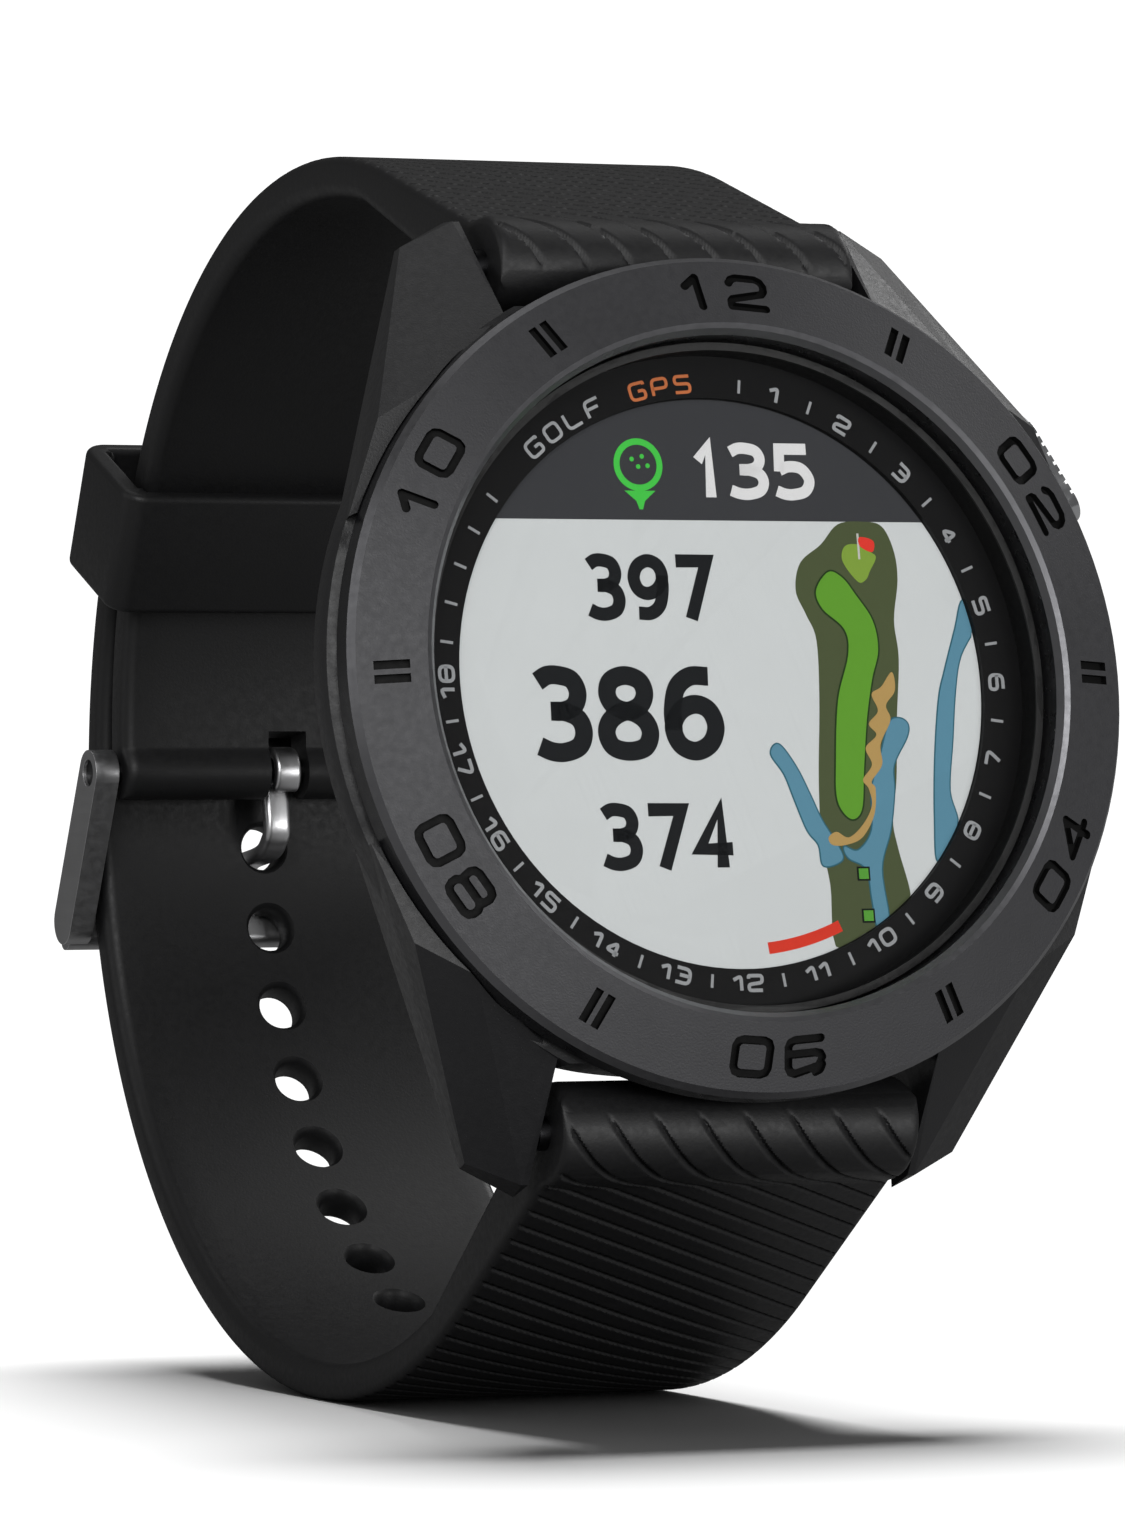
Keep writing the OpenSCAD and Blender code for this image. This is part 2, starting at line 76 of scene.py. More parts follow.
MM = 0.001
PIN = np.array([7.4, 23.2])     # depth and height of the upper lug pin


# ---- The watch's frame ---------------------------------------------------------------------

def middle(node):
    """Centre of a CAD node's box, in the row frame."""
    low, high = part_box(node)
    return (low + high) / 2


upper_pin = middle("upper_lug_pin")
lower_pin = middle("lower_lug_pin")
NOON = (upper_pin - lower_pin).normalized()
BACK = NOON.cross(Vector((1, 0, 0)))
ORIGIN = (upper_pin + lower_pin) / 2 - BACK * float(PIN[0]) * MM
AXES = np.array([(1, 0, 0), tuple(BACK), tuple(NOON)])


def to_row(points):
    return np.asarray(points, float) @ AXES * MM + np.array(ORIGIN)


def to_watch(points):
    return (np.asarray(points, float) - np.array(ORIGIN)) / MM @ AXES.T


# ---- Materials -----------------------------------------------------------------------------

def add(tree, kind, **values):
    """A shader node with some of its inputs and properties set."""
    node = tree.nodes.new(kind)
    for key, value in values.items():
        if hasattr(node, key):
            setattr(node, key, value)
        else:
            node.inputs[key.replace("_", " ")].default_value = value
    return node


def noise_at(tree, size, detail=3.0, stretch=(1, 1, 1)):
    """Noise with features of about size millimetres, in the row frame."""
    place = add(tree, "ShaderNodeTexCoord")
    mapping = add(tree, "ShaderNodeMapping")
    mapping.inputs["Scale"].default_value = stretch
    noise = add(tree, "ShaderNodeTexNoise", Scale=1 / (size * MM), Detail=detail)
    tree.links.new(place.outputs["Object"], mapping.inputs["Vector"])
    tree.links.new(mapping.outputs["Vector"], noise.inputs["Vector"])
    return noise.outputs["Fac"]


def surface(name, colour, roughness, metallic=0.0, grain=0.0, grain_size=0.15, mottle=0.12,
            uneven=0.06, stretch=(1, 1, 1), specular=0.5, glow=0.0):
    """A material whose colour, roughness and relief all vary the way a real surface's do.

    grain is the relief's depth in millimetres, mottle the share by which the colour varies, and
    uneven how far the roughness does.
    """
    material = bpy.data.materials.new(name)
    material.use_nodes = True
    tree = material.node_tree
    bsdf = tree.nodes["Principled BSDF"]
    bsdf.inputs["Metallic"].default_value = metallic
    bsdf.inputs["Specular IOR Level"].default_value = specular

    shade = add(tree, "ShaderNodeMix", data_type="RGBA")
    shade.inputs[6].default_value = (*[c * (1 - mottle) for c in colour], 1)
    shade.inputs[7].default_value = (*[min(1.0, c * (1 + mottle)) for c in colour], 1)
    tree.links.new(noise_at(tree, 3.0), shade.inputs[0])
    tree.links.new(shade.outputs[2], bsdf.inputs["Base Color"])

    rough = add(tree, "ShaderNodeMapRange")
    rough.inputs["From Min"].default_value = 0.3
    rough.inputs["From Max"].default_value = 0.7
    rough.inputs["To Min"].default_value = max(0.02, roughness - uneven)
    rough.inputs["To Max"].default_value = min(1.0, roughness + uneven)
    tree.links.new(noise_at(tree, max(grain_size * 2, 0.4), 4.0, stretch), rough.inputs["Value"])
    tree.links.new(rough.outputs["Result"], bsdf.inputs["Roughness"])

    if grain:
        bump = add(tree, "ShaderNodeBump")
        bump.inputs["Distance"].default_value = grain * MM
        bump.inputs["Strength"].default_value = 1.0
        tree.links.new(noise_at(tree, grain_size, 2.0, stretch), bump.inputs["Height"])
        tree.links.new(bump.outputs["Normal"], bsdf.inputs["Normal"])
    if glow:
        bsdf.inputs["Emission Strength"].default_value = glow
        tree.links.new(shade.outputs[2], bsdf.inputs["Emission Color"])
    return material


def clear(name, tint, alpha, ior=1.5):
    """A clear sheet that shows only by what it reflects."""
    material = bpy.data.materials.new(name)
    material.use_nodes = True
    tree = material.node_tree
    bsdf = tree.nodes["Principled BSDF"]
    bsdf.inputs["Base Color"].default_value = (*tint, 1)
    bsdf.inputs["IOR"].default_value = ior
    bsdf.inputs["Alpha"].default_value = alpha
    smear = add(tree, "ShaderNodeMapRange")
    smear.inputs["To Min"].default_value = 0.0
    smear.inputs["To Max"].default_value = 0.03
    tree.links.new(noise_at(tree, 6.0), smear.inputs["Value"])
    tree.links.new(smear.outputs["Result"], bsdf.inputs["Roughness"])
    return material


BLACK_POLYMER = surface("case_polymer", (0.012, 0.012, 0.013), 0.45, grain=0.012, grain_size=0.13,
                        specular=0.4)
BEZEL_FACE = surface("bezel_face", (0.036, 0.036, 0.039), 0.5, metallic=0.35, grain=0.012,
                     grain_size=0.11)
BEZEL_EDGE = surface("bezel_edge", (0.13, 0.13, 0.137), 0.36, metallic=0.8)
BEZEL_SIDE = surface("bezel_side", (0.006, 0.006, 0.007), 0.3, specular=0.4, grain=0.002,
                     grain_size=0.3)
INK = surface("engraving_ink", (0.003, 0.003, 0.003), 0.6, grain=0.006, specular=0.12)
RING_BLACK = surface("ring_black", (0.003, 0.003, 0.0033), 0.5, specular=0.12)
# The ring's grey print is given a faint glow (glow 0.1): painted light, since printed ink gives off
# none.
PRINT_PAINTED_GLOW = surface("ring_print_painted_glow", (0.32, 0.33, 0.34), 0.6, mottle=0.05, glow=0.1)
SILICONE = surface("strap_silicone", (0.0085, 0.0085, 0.009), 0.5, grain=0.008, grain_size=0.16,
                   specular=0.35)
STEEL = surface("polished_steel", (0.72, 0.73, 0.75), 0.17, metallic=1.0, grain=0.001,
                grain_size=0.5, uneven=0.04)
SATIN_STEEL = surface("satin_steel", (0.74, 0.74, 0.75), 0.36, metallic=1.0, grain=0.001,
                      grain_size=0.5)
GROUND_STEEL = surface("ground_steel", (0.45, 0.46, 0.48), 0.32, metallic=1.0, grain=0.003,
                       grain_size=0.12, stretch=(0.1, 1, 1))
DARK_STEEL = surface("buckle_satin", (0.34, 0.34, 0.345), 0.42, metallic=1.0, grain=0.003,
                     grain_size=0.10, stretch=(1, 0.12, 1))
PIN_STEEL = surface("pin_steel", (0.03, 0.03, 0.032), 0.4, metallic=1.0, grain=0.002)
SPRING_WIRE = surface("spring_wire", (0.5, 0.51, 0.53), 0.25, metallic=1.0, grain=0.002)
RUBBER = surface("seal_rubber", (0.012, 0.012, 0.012), 0.6, grain=0.01)
BOARD = surface("board_mask", (0.01, 0.09, 0.035), 0.35, grain=0.006, grain_size=0.4)
FOIL = surface("cell_foil", (0.45, 0.47, 0.5), 0.4, metallic=0.9, grain=0.03, grain_size=0.9)
CERAMIC = surface("antenna_ceramic", (0.62, 0.55, 0.38), 0.55, grain=0.01)
COPPER_FILM = surface("flex_film", (0.42, 0.17, 0.04), 0.35, grain=0.003)
GOLD = surface("contact_gold", (0.78, 0.56, 0.22), 0.25, metallic=1.0, grain=0.002)
LENS = clear("cover_glass", (0.02, 0.02, 0.02), alpha=0.05)
FILM = clear("touch_film", (0.02, 0.02, 0.02), alpha=0.02, ior=1.2)


# ---- CAD nodes: materials and softened edges -----------------------------------------------

def dress(node, materials, edge=0.0, angle=32, steps=2, edge_slot=None):
    """Gives a CAD node its materials and rounds its sharp edges by edge millimetres."""
    obj = NODES[node]
    obj.data.materials.clear()
    for material in materials:
        obj.data.materials.append(material)
    if edge:
        weld = obj.modifiers.new("weld", "WELD")
        weld.merge_threshold = 1e-6
        bevel = obj.modifiers.new("bevel", "BEVEL")
        bevel.width = edge * MM
        bevel.segments = steps
        bevel.limit_method = "ANGLE"
        bevel.angle_limit = math.radians(angle)
        bevel.harden_normals = True
        if edge_slot is not None:
            bevel.material = edge_slot
    return obj


def paint_faces(obj, choose):
    """Sets each face's material slot by choose(centres), with the centres in the watch's frame."""
    mesh = obj.data
    centres = np.zeros(len(mesh.polygons) * 3)
    mesh.polygons.foreach_get("center", centres)
    centres = to_watch(centres.reshape(-1, 3))
    mesh.polygons.foreach_set("material_index", choose(centres).astype(int))
    mesh.update()


BEZEL_SLOPE = math.tan(math.radians(19))
BAR_R = 20.4                    # radius where the sloping face is at depth 0
FACE_IN_R, FACE_OUT_R = 18.63, 22.14
SIDE_R = 22.4                   # beyond this and deeper than the chamfer lies the bezel's side
SUNK = 0.04                     # a face this far under the slope belongs to an engraving


def bezel_slots(centres):
    """0 face, 1 polished edges, 2 engraving, 3 side."""
    radius = np.hypot(centres[:, 0], centres[:, 2])
    sunk = (centres[:, 1] - (radius - BAR_R) * BEZEL_SLOPE) * math.cos(math.atan(BEZEL_SLOPE))
    slots = np.zeros(len(centres))
    slots[(radius > FACE_OUT_R) | (radius < FACE_IN_R)] = 1
    slots[(radius > SIDE_R) & (centres[:, 1] > 1.1)] = 3
    slots[(sunk > SUNK) & (radius > 18.9) & (radius < 21.9) & (centres[:, 1] < 1.6)] = 2
    slots[(radius < 18.2) & (centres[:, 1] > -0.05)] = 3
    return slots


dress("bezel", [BEZEL_FACE, BEZEL_EDGE, INK, BEZEL_SIDE])
paint_faces(NODES["bezel"], bezel_slots)
dress("mid_case", [BLACK_POLYMER], edge=0.14)
dress("back_cover", [BLACK_POLYMER], edge=0.08)
dress("lens", [LENS])
dress("touch_layer", [FILM])
dress("chapter_ring", [RING_BLACK])
dress("display_module", [RING_BLACK])
dress("action_key", [STEEL], edge=0.12)
dress("buckle_frame", [DARK_STEEL, SATIN_STEEL], edge=0.34, steps=3, edge_slot=1)
for node in ("upper_lug_pin", "lower_lug_pin", "buckle_bar"):
    dress(node, [PIN_STEEL])
for node in ("upper_strap_clip", "lower_strap_clip", "upper_release_latch", "lower_release_latch",
             "display_plate", "processor_shield", "vibration_motor", "key_clip", "back_screws"):
    dress(node, [GROUND_STEEL], edge=0.05)
for node in ("key_spring", "upper_latch_spring", "lower_latch_spring"):
    dress(node, [SPRING_WIRE])
for node in ("bezel_seal", "lens_seal", "back_seal", "key_seals", "battery_pad"):
    dress(node, [RUBBER])
for node in ("chassis", "key_switch"):
    dress(node, [BLACK_POLYMER])
dress("main_board", [BOARD])
dress("gps_antenna", [CERAMIC], edge=0.1)
dress("battery", [FOIL], edge=0.3)
dress("display_flex", [COPPER_FILM])
dress("charging_contacts", [GOLD], edge=0.05)


# ---- Meshes --------------------------------------------------------------------------------

def face_outwards(mesh):
    work = bmesh.new()
    work.from_mesh(mesh)
    bmesh.ops.recalc_face_normals(work, faces=work.faces)
    work.to_mesh(mesh)
    work.free()


def mesh_piece(name, points, faces, materials, body, sharp=50):
    """A mesh piece drawn in the watch's frame, riding on a CAD body."""
    mesh = bpy.data.meshes.new(name)
    mesh.from_pydata([tuple(p) for p in to_row(points)], [], faces)
    mesh.validate()
    face_outwards(mesh)
    for material in materials:
        mesh.materials.append(material)
    mesh.shade_smooth()
    mesh.set_sharp_from_angle(angle=math.radians(sharp))
    obj = bpy.data.objects.new(name, mesh)
    bpy.context.scene.collection.objects.link(obj)
    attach(obj, body)
    return obj


def tube_faces(stations, ring, closed=False):
    """Quads between neighbouring rings of points, with end caps unless the rings close up."""
    faces = []
    for i in range(stations if closed else stations - 1):
        a, b = i * ring, (i + 1) % stations * ring
        faces += [(a + j, a + (j + 1) % ring, b + (j + 1) % ring, b + j) for j in range(ring)]
    if not closed:
        faces.append(tuple(range(ring))[::-1])
        faces.append(tuple((stations - 1) * ring + j for j in range(ring)))
    return faces


def cut(obj, cutters, sharp=40):
    """Subtracts the cutters, which are then removed."""
    for cutter in cutters:
        boolean = obj.modifiers.new("cut", "BOOLEAN")
        boolean.operation = "DIFFERENCE"
        boolean.solver = "EXACT"
        boolean.object = cutter
    graph = bpy.context.evaluated_depsgraph_get()
    mesh = bpy.data.meshes.new_from_object(obj.evaluated_get(graph))
    obj.modifiers.clear()
    obj.data = mesh
    mesh.shade_smooth()
    mesh.set_sharp_from_angle(angle=math.radians(sharp))
    for cutter in cutters:
        bpy.data.objects.remove(cutter)


def cutter_mesh(name, points, faces):
    mesh = bpy.data.meshes.new(name)
    mesh.from_pydata([tuple(p) for p in to_row(points)], [], faces)
    face_outwards(mesh)
    obj = bpy.data.objects.new(name, mesh)
    bpy.context.scene.collection.objects.link(obj)
    return obj


# ---- Straps --------------------------------------------------------------------------------

STRAP_W = 20.7
KNUCKLE_R = 2.7
EDGE_OUT = 0.5                  # corner radii of the strap's section
EDGE_IN = 0.8
GROOVE_PITCH = 1.45
GROOVE_SLOPE = 0.556            # how far a groove runs along the strap per millimetre across it
GROOVE_DEPTH = 0.3
GROOVE_FLOOR = 0.05             # half widths of a groove at its bottom and at its top
GROOVE_LIP = 0.17
GROOVE_BEND = 6.0               # the grooves turn along the strap this close to the knuckle
GROOVED = 47.0                  # length of the grooved part
FINE = 0.1                      # spacing of the strap's stations where it is grooved
EYE_R = 1.6
TIP_R = 5.0

UPPER = {"centre": np.array([33.2, 2.5]), "r": 31.9, "t": 2.3, "half": 1.95, "end": 5.5,
         "flip": 1, "lean": 1}
LOWER = {"centre": np.array([34.4, -0.5]), "r": 34.85, "t": 2.1, "half": 2.1, "end": -35.0,
         "flip": -1, "lean": -1}


def unit(angle):
    return np.array([math.cos(angle), math.sin(angle)])


def strap_heading(strap):
    """Direction in which a strap leaves its lug pin, tangent to its loop."""
    d = PIN - strap["centre"]
    reach = math.acos((strap["r"] - strap["half"]) / np.hypot(*d))
    return math.atan2(d[1], d[0]) - math.pi / 2 - reach


def smooth_max(a, b, k):
    h = min(1.0, max(0.0, 0.5 + 0.5 * (a - b) / k))
    return b * (1 - h) + a * h + k * h * (1 - h)


def cross(a, b):
    return a[0] * b[1] - a[1] * b[0]


def strap_profile(strap):
    """The strap's side view from the knuckle's front to the free end: outer points, inner points
    and half widths."""
    c, r, t, half = strap["centre"], strap["r"], strap["t"], strap["half"]
    heading = strap_heading(strap)
    u = unit(heading)
    n = np.array([-u[1], u[0]])
    straight = float((c - PIN) @ u)
    start = math.pi / 2 + heading
    settle = start - math.radians(6)
    inner_a = PIN - half * n
    inner_b = c + (r - t) * unit(settle)
    drop = inner_b - inner_a

    def inner_offset(s):
        return half - s * cross(u, drop) / (drop @ u)

    outer, inner = [], []
    for turn in np.radians(np.linspace(9, 90, 34)):
        s = -KNUCKLE_R * math.cos(turn)
        o = KNUCKLE_R * math.sin(turn)
        outer.append(PIN + s * u + o * n)
        inner.append(PIN + s * u - o * n)
    for s in np.linspace(0, straight, int(straight / FINE))[1:]:
        roll = math.sqrt(max(0.0, KNUCKLE_R ** 2 - s ** 2))
        outer.append(PIN + s * u + smooth_max(roll, half, 0.9) * n)
        inner.append(PIN + s * u - smooth_max(roll, inner_offset(s), 0.9) * n)
    angle, stop = start, math.radians(strap["end"])
    travelled = straight
    while angle > stop:
        fine = travelled < GROOVED - 2 or r * (angle - stop) < 6
        step = FINE if fine else 0.5
        angle = max(stop, angle - step / r)
        travelled += step
        e = unit(angle)
        reach = cross(inner_a - c, drop) / cross(e, drop) if angle > settle else r - t
        outer.append(c + r * e)
        inner.append(c + reach * e)
    outer, inner = np.array(outer), np.array(inner)
    half_w = np.full(len(outer), STRAP_W / 2)
    if strap is UPPER:
        return with_eye(outer, inner)
    return with_rounded_tip(outer, inner, half_w)


def with_eye(outer, inner):
    """Swells the end of the short strap into the eye round the buckle's bar."""
    c, r, t = UPPER["centre"], UPPER["r"] - UPPER["t"] / 2, UPPER["t"]
    bar = math.radians(UPPER["end"])
    angles = np.array([math.atan2(*(p - c)[::-1]) for p in outer])
    for k, angle in enumerate(angles):
        s = r * (angle - bar)
        if abs(s) < EYE_R + 1.2:
            swell = smooth_max(math.sqrt(max(0.0, EYE_R ** 2 - s * s)), t / 2, 0.5)
            outer[k] = c + (r + swell) * unit(angle)
            inner[k] = c + (r - swell) * unit(angle)
    turns = np.radians(np.linspace(8, 82, 10))
    ends = [(bar - EYE_R * math.sin(a) / r, EYE_R * math.cos(a)) for a in turns]
    outer = np.vstack([outer] + [c + (r + swell) * unit(a) for a, swell in ends])
    inner = np.vstack([inner] + [c + (r - swell) * unit(a) for a, swell in ends])
    return outer, inner, np.full(len(outer), STRAP_W / 2)


def with_rounded_tip(outer, inner, half_w):
    """Rounds the free end of the long strap, in plan and in section."""
    left = np.concatenate([np.cumsum(np.hypot(*np.diff(outer[::-1], axis=0).T))[::-1], [0.02]])
    plan = np.clip(left, 0, TIP_R)
    half_w = half_w - (TIP_R - np.sqrt(TIP_R ** 2 - (TIP_R - plan) ** 2))
    nose = np.clip(left / 0.8, 0, 1)
    keep = np.sqrt(1 - (1 - nose) ** 2)[:, None]
    centre = (outer + inner) / 2
    return centre + (outer - centre) * keep, centre + (inner - centre) * keep, half_w


def smoothstep(value, low, high):
    f = np.clip((value - low) / (high - low), 0, 1)
    return f * f * (3 - 2 * f)


def groove_depth(v, x, lean):
    """Depth of the moulded grooves at v along the strap and x across it."""
    near = np.minimum(v, GROOVE_BEND)
    rate = 0.2 + 0.8 * near / GROOVE_BEND
    run = 0.2 * near + 0.4 * near * near / GROOVE_BEND + v - near
    phase = (run + lean * GROOVE_SLOPE * x) / GROOVE_PITCH
    away = np.abs(phase - np.round(phase)) * GROOVE_PITCH / np.hypot(rate, GROOVE_SLOPE)
    fade = smoothstep(v, -0.4, 1.2) * (1 - smoothstep(v, GROOVED - 2, GROOVED))
    return GROOVE_DEPTH * fade * (1 - smoothstep(away, GROOVE_FLOOR, GROOVE_LIP))


def strap_section(thickness, half_w, columns):
    """Ring of rows [across, up, outward normal across, outward normal up, groove share, distance
    across measured round the corner] for one station, from the inner face (up = 0)."""
    ro = min(EDGE_OUT, 0.45 * thickness)
    ri = min(EDGE_IN, 0.45 * thickness)
    flat_o, flat_i = half_w - ro, half_w - ri
    ring = [(x, thickness, 0, 1, 1, x) for x in np.linspace(-flat_o, flat_o, columns)]

    def outer_corner(side, a):
        return (side * (flat_o + ro * math.sin(a)), thickness - ro + ro * math.cos(a),
                side * math.sin(a), math.cos(a), max(0.0, 1 - a / 0.6), side * (flat_o + ro * a))

    def inner_corner(side, a):
        return side * (flat_i + ri * math.cos(a)), ri - ri * math.sin(a), 0, 0, 0, 0

    turns = np.radians(np.linspace(0, 90, 7))
    ring += [outer_corner(1, a) for a in turns[1:]]
    ring += [inner_corner(1, a) for a in turns]
    ring += [(x, 0, 0, 0, 0, 0) for x in np.linspace(flat_i, -flat_i, 14)[1:-1]]
    ring += [inner_corner(-1, a) for a in turns[::-1]]
    ring += [outer_corner(-1, a) for a in turns[:0:-1]]
    return np.array(ring)


def strap_mesh(name, strap, body, columns=150):
    outer, inner, half_w = strap_profile(strap)
    v = np.concatenate([[0], np.cumsum(np.hypot(*np.diff(outer, axis=0).T))])
    points = []
    for o, i, w, at in zip(outer, inner, half_w, v):
        thickness = float(np.hypot(*(o - i)))
        up = (o - i) / thickness
        ring = strap_section(thickness, w, columns)
        depth = groove_depth(np.full(len(ring), at), ring[:, 5], strap["lean"]) * ring[:, 4]
        depth = np.minimum(depth, 0.3 * thickness)
        across = ring[:, 0] - depth * ring[:, 2]
        along_up = ring[:, 1] - depth * ring[:, 3]
        side = i + along_up[:, None] * up
        points.append(np.column_stack([across, side[:, 0], side[:, 1] * strap["flip"]]))
    faces = tube_faces(len(points), len(points[0]))
    return mesh_piece(name, np.vstack(points), faces, [SILICONE], body)


def loop_point(strap, angle, radius):
    """A point on a strap's loop, in the plane of the loop."""
    p = strap["centre"] + radius * unit(angle)
    return np.array([p[0], p[1] * strap["flip"]])


def spool(name, centre, axis, profile, sides=40):
    """Cutter for a round hole: profile is [distance along the axis, radius]."""
    normal = np.array([0, *axis])
    side = np.array([0, -axis[1], axis[0]])
    turns = np.linspace(0, 2 * math.pi, sides, endpoint=False)
    points = [np.array([0, *centre]) + d * normal + r * (math.cos(a) * np.array([1, 0, 0])
              + math.sin(a) * side) for d, r in profile for a in turns]
    return cutter_mesh(name, points, tube_faces(len(profile), sides))


def box_cutter(name, origin, along, up, x, s, h):
    """Cutter for a straight pocket: ranges across x, along the strap s and outwards h."""
    corners = [(a, *(origin + b * along + c * up)) for a in x for b in s for c in h]
    faces = [(0, 1, 3, 2), (4, 6, 7, 5), (0, 4, 5, 1), (2, 3, 7, 6), (0, 2, 6, 4), (1, 5, 7, 3)]
    return cutter_mesh(name, corners, faces)


HOLE_R = 1.3
HOLE_PITCH = 5.04
HOLES_ABOVE, HOLES_BELOW = 2, 7
TONGUE_HOLE = -1.7              # degrees round the long strap's loop
CLIP_UNDERSIDE = -0.44          # roof of the quick release's pocket, just inside the clip


def hole_cutters():
    r, t = LOWER["r"], LOWER["t"]
    spools = []
    for i in range(-HOLES_ABOVE, HOLES_BELOW + 1):
        angle = math.radians(TONGUE_HOLE) + i * HOLE_PITCH / (r - t / 2)
        out = unit(angle) * np.array([1, LOWER["flip"]])
        centre = loop_point(LOWER, angle, r - t / 2)
        lip = t / 2             # half the strap's thickness
        spools.append(spool(f"hole_{i + HOLES_ABOVE}", centre, out, [
            (-lip - 0.3, HOLE_R + 0.5), (-lip + 0.06, HOLE_R + 0.18), (-lip + 0.3, HOLE_R),
            (lip - 0.3, HOLE_R), (lip - 0.06, HOLE_R + 0.18), (lip + 0.3, HOLE_R + 0.5)]))
    return spools


def latch_pocket(strap):
    """Cutters for the quick release's pocket on the inside of a strap."""
    u = unit(strap_heading(strap))
    n = np.array([-u[1], u[0]])
    flip = np.array([1, strap["flip"]])
    pin = PIN * flip
    along, up, depth = u * flip, n * flip, (-4, CLIP_UNDERSIDE)
    return [box_cutter("pocket_wide", pin, along, up, (-4.3, 4.3), (4.3, 9.7), depth),
            box_cutter("pocket_narrow", pin, along, up, (-3.2, 3.2), (1.4, 5), depth)]


UPPER_STRAP = strap_mesh("upper_strap_moulding", UPPER, "upper_strap")
bar_angle = math.radians(UPPER["end"])
BAR = loop_point(UPPER, bar_angle, UPPER["r"] - UPPER["t"] / 2)
notch = box_cutter("tongue_notch", BAR, np.array([1.0, 0.0]), np.array([0.0, 1.0]),
                   (-1.2, 1.2), (-4, 4), (-4, 2.2))
cut(UPPER_STRAP, latch_pocket(UPPER) + [notch])
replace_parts(UPPER_STRAP, "upper_strap")
LOWER_STRAP = strap_mesh("lower_strap_moulding", LOWER, "lower_strap")
cut(LOWER_STRAP, latch_pocket(LOWER) + hole_cutters())
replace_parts(LOWER_STRAP, "lower_strap")


# ---- Keeper --------------------------------------------------------------------------------

KEEPER_C = np.array([33.8, 1.5])
KEEPER_ANGLE = math.radians(33.8)
KEEPER_IN, KEEPER_OUT = 29.1, 35.3
KEEPER_LEN = 7.4
KEEPER_WALL = 1.1
KEEPER_SIDE = 1.3
KEEPER_CORNER = 1.4
KEEPER_RIM = 0.42               # radius of its rounded rims


def rounded_rectangle(half_w, half_h, r, step=8):
    """Points and outward normals round a rectangle with arcs at its corners."""
    out = []
    for corner, (sx, sy) in enumerate([(1, 1), (-1, 1), (-1, -1), (1, -1)]):
        for k in range(step + 1):
            a = math.pi / 2 * (corner + k / step)
            e = unit(a)
            out.append((np.array([sx * (half_w - r), sy * (half_h - r)]) + r * e, e))
    return out


def keeper():
    """The free loop that holds the tail: a band whose rims are rounded over."""
    half_w = STRAP_W / 2 + 0.3 + KEEPER_SIDE
    half_h = (KEEPER_OUT - KEEPER_IN) / 2 + KEEPER_WALL
    rim = KEEPER_RIM
    e = unit(KEEPER_ANGLE)
    along = np.array([-e[1], e[0]])
    middle_r = (KEEPER_IN + KEEPER_OUT) / 2
    points, ring_size = [], 0
    for (x, y), normal in rounded_rectangle(half_w + 0.1, half_h, KEEPER_CORNER):
        wall = KEEPER_SIDE * abs(normal[0]) + KEEPER_WALL * abs(normal[1])
        half_l = KEEPER_LEN / 2
        ring = []
        for side, face, a0 in [(1, 1, 0), (-1, 1, 90), (-1, -1, 180), (1, -1, 270)]:
            for a in np.radians(np.linspace(a0, a0 + 90, 6)):
                ring.append((side * (half_l - rim) + rim * math.cos(a),
                             face * (wall / 2 - rim) + rim * math.sin(a) - wall / 2))
        ring_size = len(ring)
        for l, q in ring:
            px, py = np.array([x, y]) + q * normal
            p = KEEPER_C + (middle_r + py) * e + l * along
            points.append((px, p[0], p[1]))
    stations = len(points) // ring_size
    return mesh_piece("keeper_loop", points, tube_faces(stations, ring_size, closed=True),
                      [SILICONE], "keeper")


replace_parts(keeper(), "keeper")


# ---- Buckle tongue -------------------------------------------------------------------------

TONGUE_W = 1.6
TONGUE_HALF = 0.45              # half its thickness, and half that of its curl
CURL_HALF = 0.33
CURL_R = 1.16
TONGUE_PATH = [(64.9, 2.4), (65.5, 1.6), (66.3, 1.17), (67.6, 1.05), (69.6, 1.05), (70.5, 0.72),
               (71.1, -0.1), (71.3, -1.2), (71.3, -2.5), (71.3, -3.8)]


def tongue():
    """A flattened wire curled round the buckle's bar and led through the long strap's hole."""
    curl = [BAR + CURL_R * unit(a) for a in np.radians(np.linspace(250, -12, 30))]
    path = curl + smooth_path([curl[-1]] + TONGUE_PATH)[1:]
    travelled = np.concatenate([[0], np.cumsum(np.hypot(*np.diff(path, axis=0).T))])
    points = []
    for k, p in enumerate(path):
        d = path[min(k + 1, len(path) - 1)] - path[max(k - 1, 0)]
        n = np.array([-d[1], d[0]]) / np.hypot(*d)
        end = min(travelled[k], travelled[-1] - travelled[k])
        keep = math.sqrt(1 - (1 - min(1.0, end / 0.35 + 0.1)) ** 2)
        half_t = (CURL_HALF if k < len(curl) else TONGUE_HALF) * keep
        half_w = TONGUE_W / 2 * (0.6 + 0.4 * keep)
        points += [(x, *(p + q * n)) for (x, q), _ in rounded_rectangle(half_w, half_t,
                                                                        half_t * 0.8, 5)]
    ring = len(points) // len(path)
    return mesh_piece("tongue_bar", points, tube_faces(len(path), ring), [SATIN_STEEL],
                      "buckle_tongue")


def smooth_path(points, steps=6):
    """An open curve through the points."""
    points = [np.array(p, float) for p in points]
    points = [2 * points[0] - points[1]] + points + [2 * points[-1] - points[-2]]
    out = []
    for a, b, c, d in zip(points, points[1:], points[2:], points[3:]):
        for f in np.arange(steps) / steps:
            out.append(0.5 * (2 * b + (c - a) * f + (2 * a - 5 * b + 4 * c - d) * f ** 2
                              + (3 * b - a - 3 * c + d) * f ** 3))
    return out + [points[-2]]


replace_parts(tongue(), "buckle_tongue")


# ---- Flat figures: ribbons, filled outlines and numbers ------------------------------------

